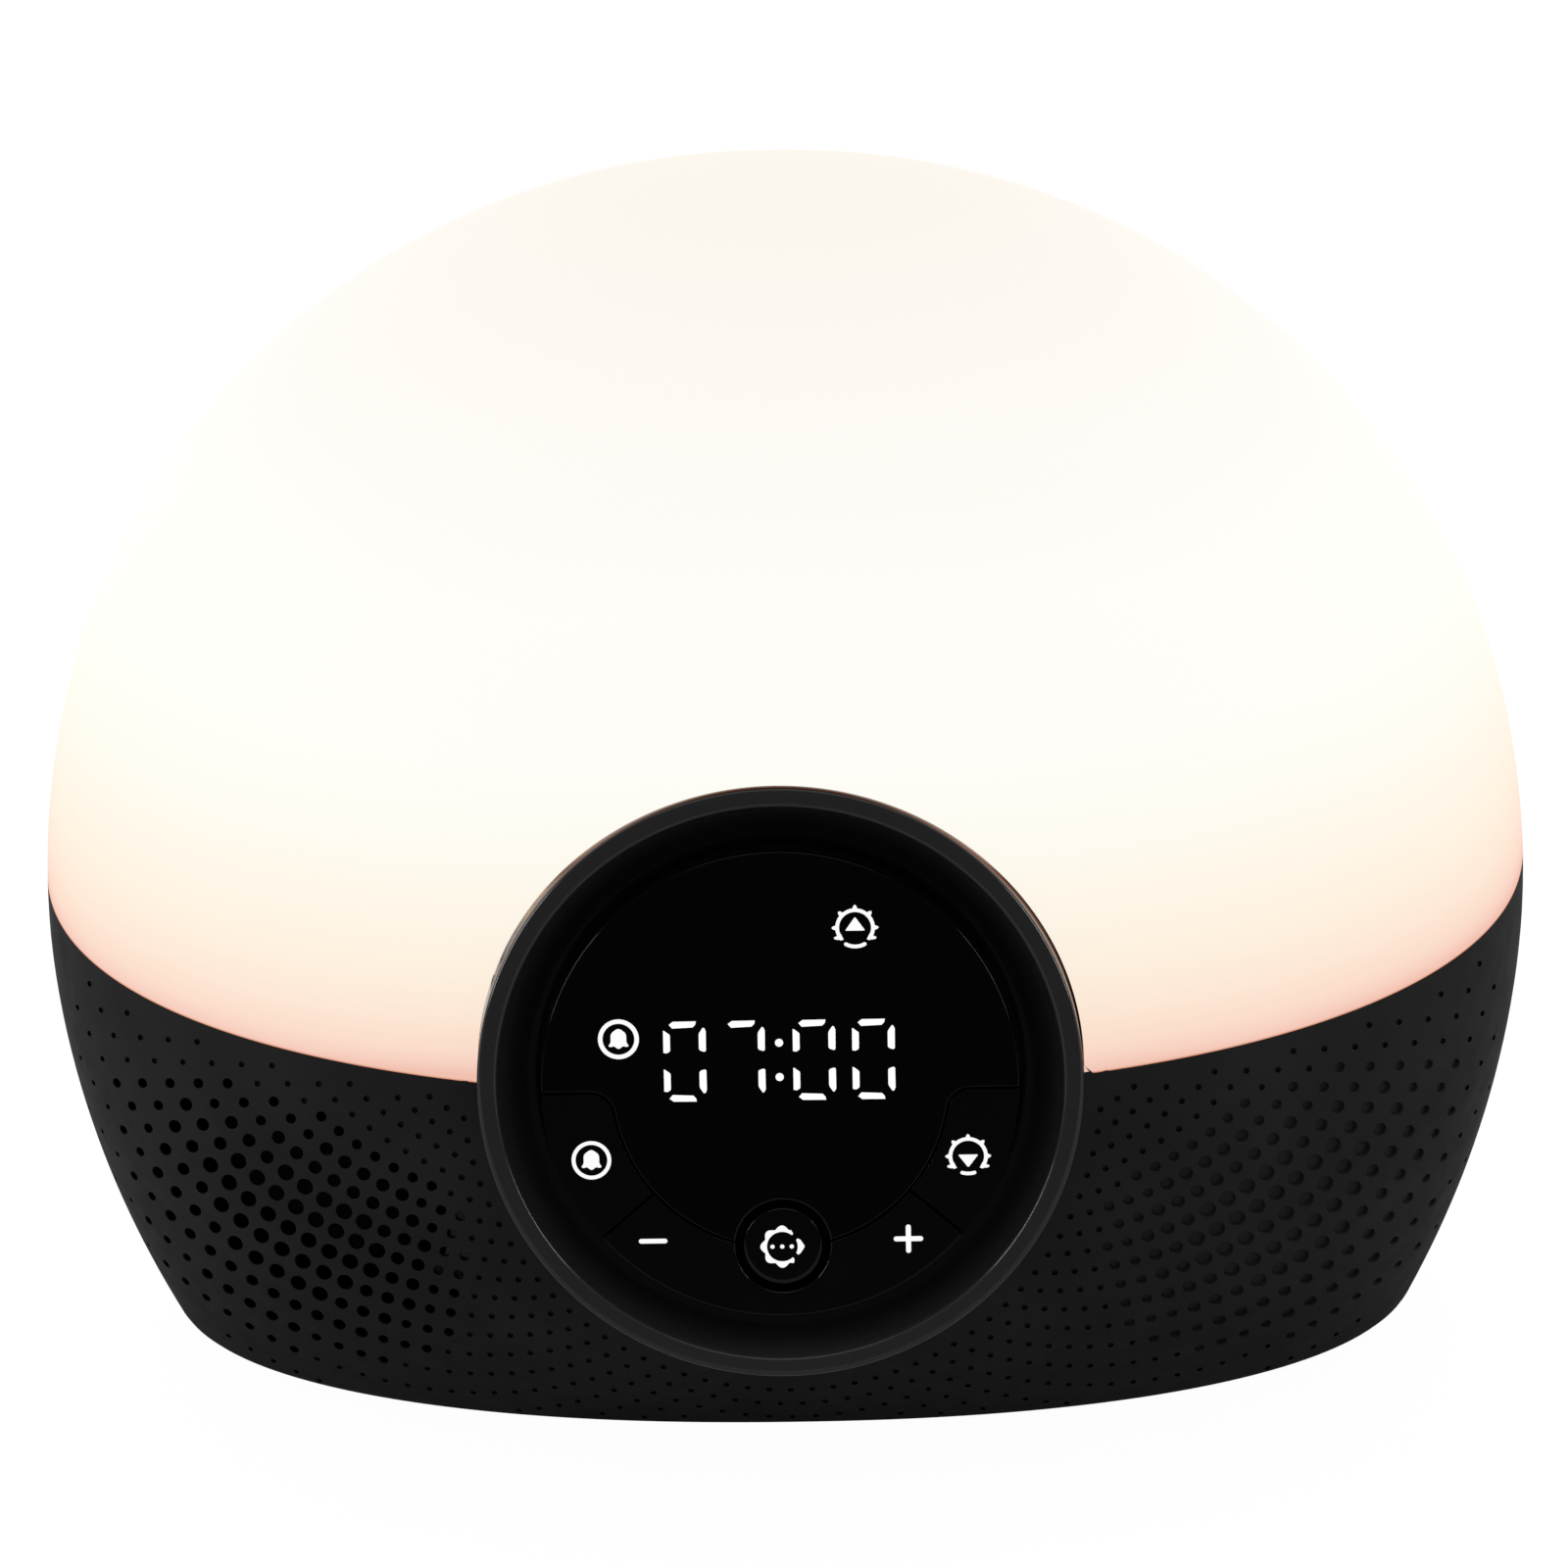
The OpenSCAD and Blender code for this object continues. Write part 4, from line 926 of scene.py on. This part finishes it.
def window_outline():
    cx, cy, r, inner, top = corner(KEY_GAP)
    touch, outer_top = atan2(cy, cx), asin(top / DIAL_R)
    start, stop = hole_meets(inner)
    right = arc(cx, cy, r, pi / 2, pi + touch, 14) + arc(0, 0, inner, touch, stop, 50)
    points = arc(0, 0, DIAL_R, pi - outer_top, outer_top, 180) + right
    points += arc(0, -MENU_Y, MENU_HOLE_R, start, pi - start, 40)
    return points + [(-x, y) for x, y in reversed(right)]


# ------------ window and keys

PLACES = {
    "alarm_key": (-25.0, -9.8), "sunset_key": (24.7, -9.6), "minus": (-17.0, -21.0), "plus": (16.8, -21.0),
    "menu": (0.0, -MENU_Y),
}


def cap(name, outline, look, slot, body, node, **more):
    """A glossy plate in the dial's face."""
    plate(name, outline, DIAL_BACK, DIAL_RISE, M[look], slot, body, stands_for=[node], **more)


def under(name, outline, low, high, body=ROOT, slot="key_plastic"):
    """A plain part of the drum, below the dial's face."""
    plate(name, outline, low, high, M["drum"], slot, body, edge=0.0)


def wall_outline(start, stop, steps):
    return arc(0, 0, DIAL_R, start, stop, steps) + arc(0, 0, DIAL_R - SKIRT_T, stop, start, steps)


def skirt(start, stop, name, body):
    """The drum's side under a key."""
    under(name, wall_outline(start, stop, 70), SKIRT_BACK, DIAL_BACK, body)


def key_post(at, name, body, lift=0.0):
    """The post that presses a key's switch, and the foot that snaps in under the guide."""
    for part, r, top in (("", POST_R, DIAL_BACK), ("_foot", POST_FOOT_R, SNAP_TOP - lift)):
        under(name + part, circle(*at, r, 28), POST_END, top, body)


def dial():
    menu_edge = (0, -MENU_Y, MENU_HOLE_R, 0.4)
    cap("dial_glass", window_outline(), "window", "dial_gloss", ROOT, "dial_window", wide=menu_edge)
    top = asin(BAND_TOP / DIAL_R)
    for side, node in ((-1, "alarm_key"), (1, "sunset_key")):
        cap(node + "_cap", side_key_outline(side), "key", "key_plastic", node, node)
        span = (SIDE_KEY_END, top) if side > 0 else (pi - top, pi - SIDE_KEY_END)
        skirt(*span, node + "_skirt", node)
        key_post(PLACES[node], node + "_post", node)
    cap("rocker_cap", rocker_outline(), "key", "key_plastic", "rocker", "minus_plus_rocker",
        wide=menu_edge)
    skirt(-pi - ROCKER_END, ROCKER_END, "rocker_skirt", "rocker")
    for name in ("minus", "plus"):
        key_post(PLACES[name], name + "_post", "rocker", ROCKER_SNAP_LIFT)
    menu_key()


def menu_key():
    inner, back = MENU_R - 1.3, DIAL_BACK - 5.6
    crown = ((0.0, 0.05), (2.0, 0.045), (3.6, 0.03), (4.5, 0.01), (4.85, 0.02), (5.05, 0.08), (5.18, 0.2),
             (MENU_R, 0.4))
    profile = [(r, DIAL_RISE - down) for r, down in crown]
    profile += [(MENU_R, back), (inner, back), (inner, DIAL_BACK), (0.0, DIAL_BACK)]
    verts, faces = revolve(profile, 96, PLACES["menu"])
    obj = piece("menu_key_cap", verts, [f[::-1] for f in faces], M["key"], "key_plastic", "menu_key",
                stands_for=["menu_key"])
    bm = bmesh.new()
    bm.from_mesh(obj.data)
    bmesh.ops.remove_doubles(bm, verts=bm.verts, dist=1e-7)
    bmesh.ops.recalc_face_normals(bm, faces=bm.faces)
    bm.to_mesh(obj.data)
    bm.free()
    smooth_below(obj.data, 40)
    key_post(PLACES["menu"], "menu_post", "menu_key")


def drum_wall():
    """Drum wall round the upper half of the dial."""
    top = asin((BAND_TOP + KEY_GAP) / DIAL_R)
    under("drum_wall", wall_outline(top, pi - top, 120), RING_BACK, DIAL_BACK, slot="carrier_plastic")


# ------------ signs and digits

LIFT = 0.012


def stroke(points, width):
    """Outline of a line of given width, with round ends."""
    left, right = [], []
    for i, (x, y) in enumerate(points):
        x0, y0 = points[max(i - 1, 0)]
        x1, y1 = points[min(i + 1, len(points) - 1)]
        d = hypot(x1 - x0, y1 - y0) or 1
        nx, ny = -(y1 - y0) / d, (x1 - x0) / d
        left.append((x + nx * width / 2, y + ny * width / 2))
        right.append((x - nx * width / 2, y - ny * width / 2))

    def round_end(before, end):
        a = atan2(end[1] - before[1], end[0] - before[0])
        return arc(end[0], end[1], width / 2, a + pi / 2, a - pi / 2, 8)[1:-1]

    return left + round_end(points[-2], points[-1]) + right[::-1] + round_end(points[1], points[0])


def sign(name, outlines, body=ROOT, material="print"):
    """Thin flat shapes on the dial's face. Each entry is an outline, or an outline and its holes."""
    verts, faces = [], []
    for entry in outlines:
        loops = entry if isinstance(entry[0], list) else [entry]
        co, tris = fill([without_repeats(loop) for loop in loops], TRIANGLES)
        base = len(verts)
        verts += [on_dial(p.x, p.y, DIAL_RISE + LIFT) for p in co]
        faces += [tuple(base + i for i in t) for t in tris]
    piece(name, verts, faces, M[material], "lit_segments", body, smooth=False)


def moved(points, x, y, flip=1):
    return [(x + px, y + flip * py) for px, py in points]


def polar(x, y, *places):
    """Points about (x, y), each given as a radius and degrees."""
    return [(x + r * cos(radians(a)), y + r * sin(radians(a))) for r, a in places]


def bow(x, y, r, start, stop, steps, width):
    return stroke(arc(x, y, r, radians(start), radians(stop), steps), width)


def ring_outline(x, y, r, width):
    return [circle(x, y, r + width / 2, 60), circle(x, y, r - width / 2, 60)]


def bell(x, y):
    """A bell's silhouette: a round top, straight sides, a flared rim and the clapper below."""
    right = [
        (0.0, 1.4), (0.28, 1.32), (0.56, 1.13), (0.82, 0.92), (0.98, 0.68), (1.03, 0.38), (1.03, -0.35),
        (1.14, -0.6), (1.3, -0.82), (1.27, -1.0), (1.0, -1.04), (0.62, -0.94), (0.38, -1.1), (0.16, -1.27),
        (0.0, -1.31),
    ]
    return moved(right + [(-px, py) for px, py in right[-2:0:-1]], x, y)


SUN_R = 2.35
SUN_BANK = ((1.5, -1.58), (1.75, -1.62), (2.45, -1.6), (2.72, -1.5), (2.8, -1.32), (2.62, -1.18),
            (2.35, -1.12), (2.2, -0.9), (1.9, -0.8))
ARROW_UP = ((-1.25, -0.3), (-1.2, -0.4), (1.2, -0.4), (1.25, -0.3), (0.08, 1.36), (-0.08, 1.36))
ARROW_DOWN = ((-1.27, 0.12), (-0.08, -1.44), (0.08, -1.44), (1.27, 0.12), (1.2, 0.22), (-1.2, 0.22))


def sun_sign(x, y, up):
    """A low sun with rays over a horizon, and an arrow that says which way it goes."""
    tip, foot, side = 2.9 if up else 2.85, 13, 4.4
    shapes = [bow(x, y, SUN_R, -38, 218, 48, 0.5)]
    for a in (0, 45, 90, 135, 180):
        shapes.append(polar(
            x, y, (SUN_R, a - foot), (SUN_R + 0.26, a - side * 1.5), (tip, a - side), (tip + 0.2, a),
            (tip, a + side), (SUN_R + 0.26, a + side * 1.5), (SUN_R, a + foot),
        ))
    shapes += [[(x + k * px, y + py) for px, py in SUN_BANK] for k in (-1, 1)]
    if up:
        return shapes + [bow(x, y, 2.53, -119, -61, 14, 0.5), moved(ARROW_UP, x, y)]
    return shapes + [bow(x, y + 0.6, 2.96, -106, -74, 10, 0.48), moved(ARROW_DOWN, x, y)]


def menu_sign(x, y):
    """A scalloped sun with three dots in it and a pointer at its side."""
    steps, start, stop = 96, 62, 304
    rim = [(2.12, 49), (2.32, 51)]
    for i in range(steps + 1):
        a = start + (stop - start) * i / steps
        lobe = 0.5 + 0.5 * cos(radians(8 * (a - 90)))
        rim.append((2.44 + 0.46 * lobe ** 0.75, a))
    rim += [(2.42, -49), (2.18, -46)] + [(2.02, a) for a in range(-48, -312, -4)]
    pointer = [(2.05, a) for a in range(-26, 27, 4)]
    pointer += [(2.35, 28), (2.6, 20), (2.92, 3), (2.96, 0), (2.92, -3), (2.6, -20), (2.42, -28)]
    dots = [circle(x + dx, y, 0.29, 20) for dx in (-1.29, 0.0, 1.26)]
    return [polar(x, y, *rim), polar(x, y, *pointer)] + dots


BAR = [(-1.9, 0.05), (-1.36, 0.46), (1.68, 0.48), (1.6, 0.05), (1.24, -0.34), (-1.46, -0.46)]
LEFT_BAR = [(-0.42, 1.52), (-0.3, 1.52), (0.43, 0.98), (0.47, 0.78), (0.47, -1.16), (0.36, -1.34),
            (-0.02, -1.54), (-0.42, -1.46)]
RIGHT_BAR = [(0.08, 1.66), (-0.4, 0.95), (-0.46, 0.7), (-0.46, -1.2), (-0.3, -1.42), (0.26, -1.6),
             (0.46, -1.44), (0.48, 1.2), (0.3, 1.6)]
SEGMENTS = {
    "a": (-0.12, 4.92, BAR, 1), "d": (-0.2, -5.0, BAR, -1),
    "f": (-2.36, 2.65, LEFT_BAR, 1), "e": (-2.36, -2.6, LEFT_BAR, 1),
    "b": (2.36, 2.85, RIGHT_BAR, 1), "c": (2.36, -2.72, RIGHT_BAR, -1),
}
LIT = {"0": "abcdef", "7": "abc"}


def digit(x, y, value):
    segments = [SEGMENTS[key] for key in LIT[value]]
    return [moved(bar, x + dx, y + dy, flip) for dx, dy, bar, flip in segments]


def signs():
    shapes = []
    for x, value in zip((-12.48, -4.72, 4.56, 12.36), "0700"):
        shapes += digit(x, 3.48, value)
    shapes += [circle(-0.03, y, 0.54, 24) for y in (5.82, 1.17)]
    sign("clock_digits", shapes, material="segment")
    sign("alarm_set_sign", [ring_outline(-21.14, 6.6, 2.4, 0.6), bell(-21.14, 6.6)])
    sign("sunrise_sign", sun_sign(10.2, 21.2, True))
    sign("alarm_key_sign", [ring_outline(-25.08, -9.8, 2.36, 0.52), bell(-25.08, -9.8)], "alarm_key")
    sign("sunset_key_sign", sun_sign(24.64, -9.95, False), "sunset_key")
    sign("minus_sign", [stroke([(-18.75, -20.98), (-15.6, -20.98)], 0.64)], "rocker")
    plus = ([(15.0, -21.13), (18.22, -21.13)], [(16.61, -22.74), (16.61, -19.52)])
    sign("plus_sign", [stroke(line, 0.68) for line in plus], "rocker")
    sign("menu_key_sign", menu_sign(-0.1, -21.97), "menu_key")


# ------------ build

dome()
all_dots = grille_dots()
base_skin(all_dots)
dot_walls(all_dots)
inlet_bore()
base_edge()
base_rim()
ring()
dial()
drum_wall()
signs()

LOOKS = {
    "base": "bottom_plate face_housing",
    "rubber": "rubber_feet",
    "steel": "base_screws lamp_board_screws bezel_screws housing_screws tact_switches "
             "display_board_screws main_board_screws",
    "white": "lamp_tray display_spacer",
    "board_white": "lamp_board",
    "board_green": "display_board main_board",
    "led": "lamp_leds",
    "ribbon": "lamp_ribbon",
    "drum": "key_carrier speaker_gasket",
    "black_parts": "digit_display front_ribbon board_parts power_jack speaker_screws",
    "segment": "digit_segments indicator_lights",
    "dark_metal": "speaker_frame speaker_magnet",
    "paper": "speaker_cone",
}
for look, nodes in LOOKS.items():
    for node in nodes.split():
        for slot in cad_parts[node].material_slots:
            slot.material = M[look]

# ------------ stage, light and camera

WHITE = (1, 1, 1, 1)
FLOOR_ALBEDO, FLOOR_GLOW = 0.38, 1.08
# The backdrop from its front to its back, as mirrors see it and as it lights the object
MIRROR, FILL = (0.07, 1.0), (0.95, 0.72)
TOP, LEFT, RIGHT = 0.65, 11.0, 7.5


def floor_material():
    """White floor. What is seen of it is lifted to white, and the object's shadow stays."""
    m = Mat("studio_floor")
    m.set(Base_Color=scaled(WHITE, FLOOR_ALBEDO), Roughness=0.9, Specular_IOR_Level=0.1)
    glow = m.add("ShaderNodeEmission", {"Color": WHITE, "Strength": FLOOR_GLOW})
    direct, mirrored = m.rays()
    # Close to the object a mirror sees the floor as it is, shaded
    near, far = 0.3, 0.6
    lifted = m.combine("MULTIPLY", m.span(m.length(m.place()), 0.0, 1.0, near, far), mirrored)
    share = m.span(m.combine("MAXIMUM", direct, lifted), 0.0, 0.9, 0.0, 1.0)
    mix = m.add("ShaderNodeMixShader", {0: share, 1: m.bsdf.outputs[0], 2: glow.outputs[0]})
    m.feed(m.out.inputs[0], mix.outputs[0])
    return m.mat


def backdrop():
    world = bpy.data.worlds.new("studio")
    bpy.context.scene.world = world
    world.use_nodes = True
    t = Tree(world.node_tree)
    direct, seen = t.rays()
    way = t.add("ShaderNodeTexCoord").outputs["Generated"]
    y = t.add("ShaderNodeSeparateXYZ", {0: way}).outputs["Y"]
    mirror, lit_by = t.span(y, *MIRROR, -0.3, 0.6), t.span(y, *FILL, -1.0, 0.2)
    plain = t.add("ShaderNodeMix", {0: seen, 2: lit_by, 3: mirror}, data_type="FLOAT")
    level = t.combine("MAXIMUM", plain.outputs[0], direct)
    back = t.add("ShaderNodeBackground", {"Color": WHITE, "Strength": level})
    t.add("ShaderNodeOutputWorld", {"Surface": back.outputs[0]})


def lamp(name, kind, at, to, energy, size):
    data = bpy.data.lights.new(name, kind)
    data.energy = energy
    if kind == "AREA":
        data.shape = "RECTANGLE"
        data.size, data.size_y = size
    else:
        data.angle = size
    obj = placed(name, data)
    obj.location = at
    obj.rotation_euler = (Vector(to) - Vector(at)).to_track_quat("-Z", "Y").to_euler()


def studio():
    """White floor and backdrop, a dim side in front, and a tall softbox at each side."""
    reach, front = 6.0, -0.55
    corners = [(-reach, front, 0), (reach, front, 0), (reach, reach, 0), (-reach, reach, 0)]
    obj = mesh_object("floor", corners, [(0, 1, 2, 3)], floor_material())
    backdrop()
    lamp("overhead", "SUN", (0.0, 0.5, 3.0), (0, 0, 0), TOP, radians(60))
    lamp("left_softbox", "AREA", (-1.5, -0.05, 0.56), (0, 0, 0.08), LEFT, (0.3, 0.75))
    lamp("right_softbox", "AREA", (1.5, -0.05, 0.56), (0, 0, 0.08), RIGHT, (0.22, 0.75))


def camera():
    """Looks down on the front, a little from the right, with the horizon turned a little."""
    yaw, elevation, roll = radians(0.973), radians(27.0), radians(1.302)
    distance, pixels_per_mm, cx, cy = 900.0, 7.202, 798.3, 764.2
    pixels, sensor = 1600, 36.0
    target = Vector((0, BODY_Y, 91.0)) * MM
    back = Vector((
        sin(yaw) * cos(elevation), -cos(yaw) * cos(elevation), sin(elevation)))
    right = Vector((cos(yaw), sin(yaw), 0))
    up = back.cross(right)
    turned_right = right * cos(roll) - up * sin(roll)
    turned_up = right * sin(roll) + up * cos(roll)
    data = bpy.data.cameras.new("camera")
    data.sensor_width = sensor
    data.lens = sensor * pixels_per_mm * distance / pixels
    data.shift_x = (pixels / 2 - cx) / pixels
    data.shift_y = (cy - pixels / 2) / pixels
    data.clip_start, data.clip_end = 0.05, 50.0
    obj = placed("camera", data)
    turn = Matrix((turned_right, turned_up, back)).transposed().to_4x4()
    obj.matrix_world = Matrix.Translation(target + back * distance * MM) @ turn
    bpy.context.scene.camera = obj


studio()
camera()
bpy.context.scene.view_settings.view_transform = "Standard"

bpy.context.view_layer.update()
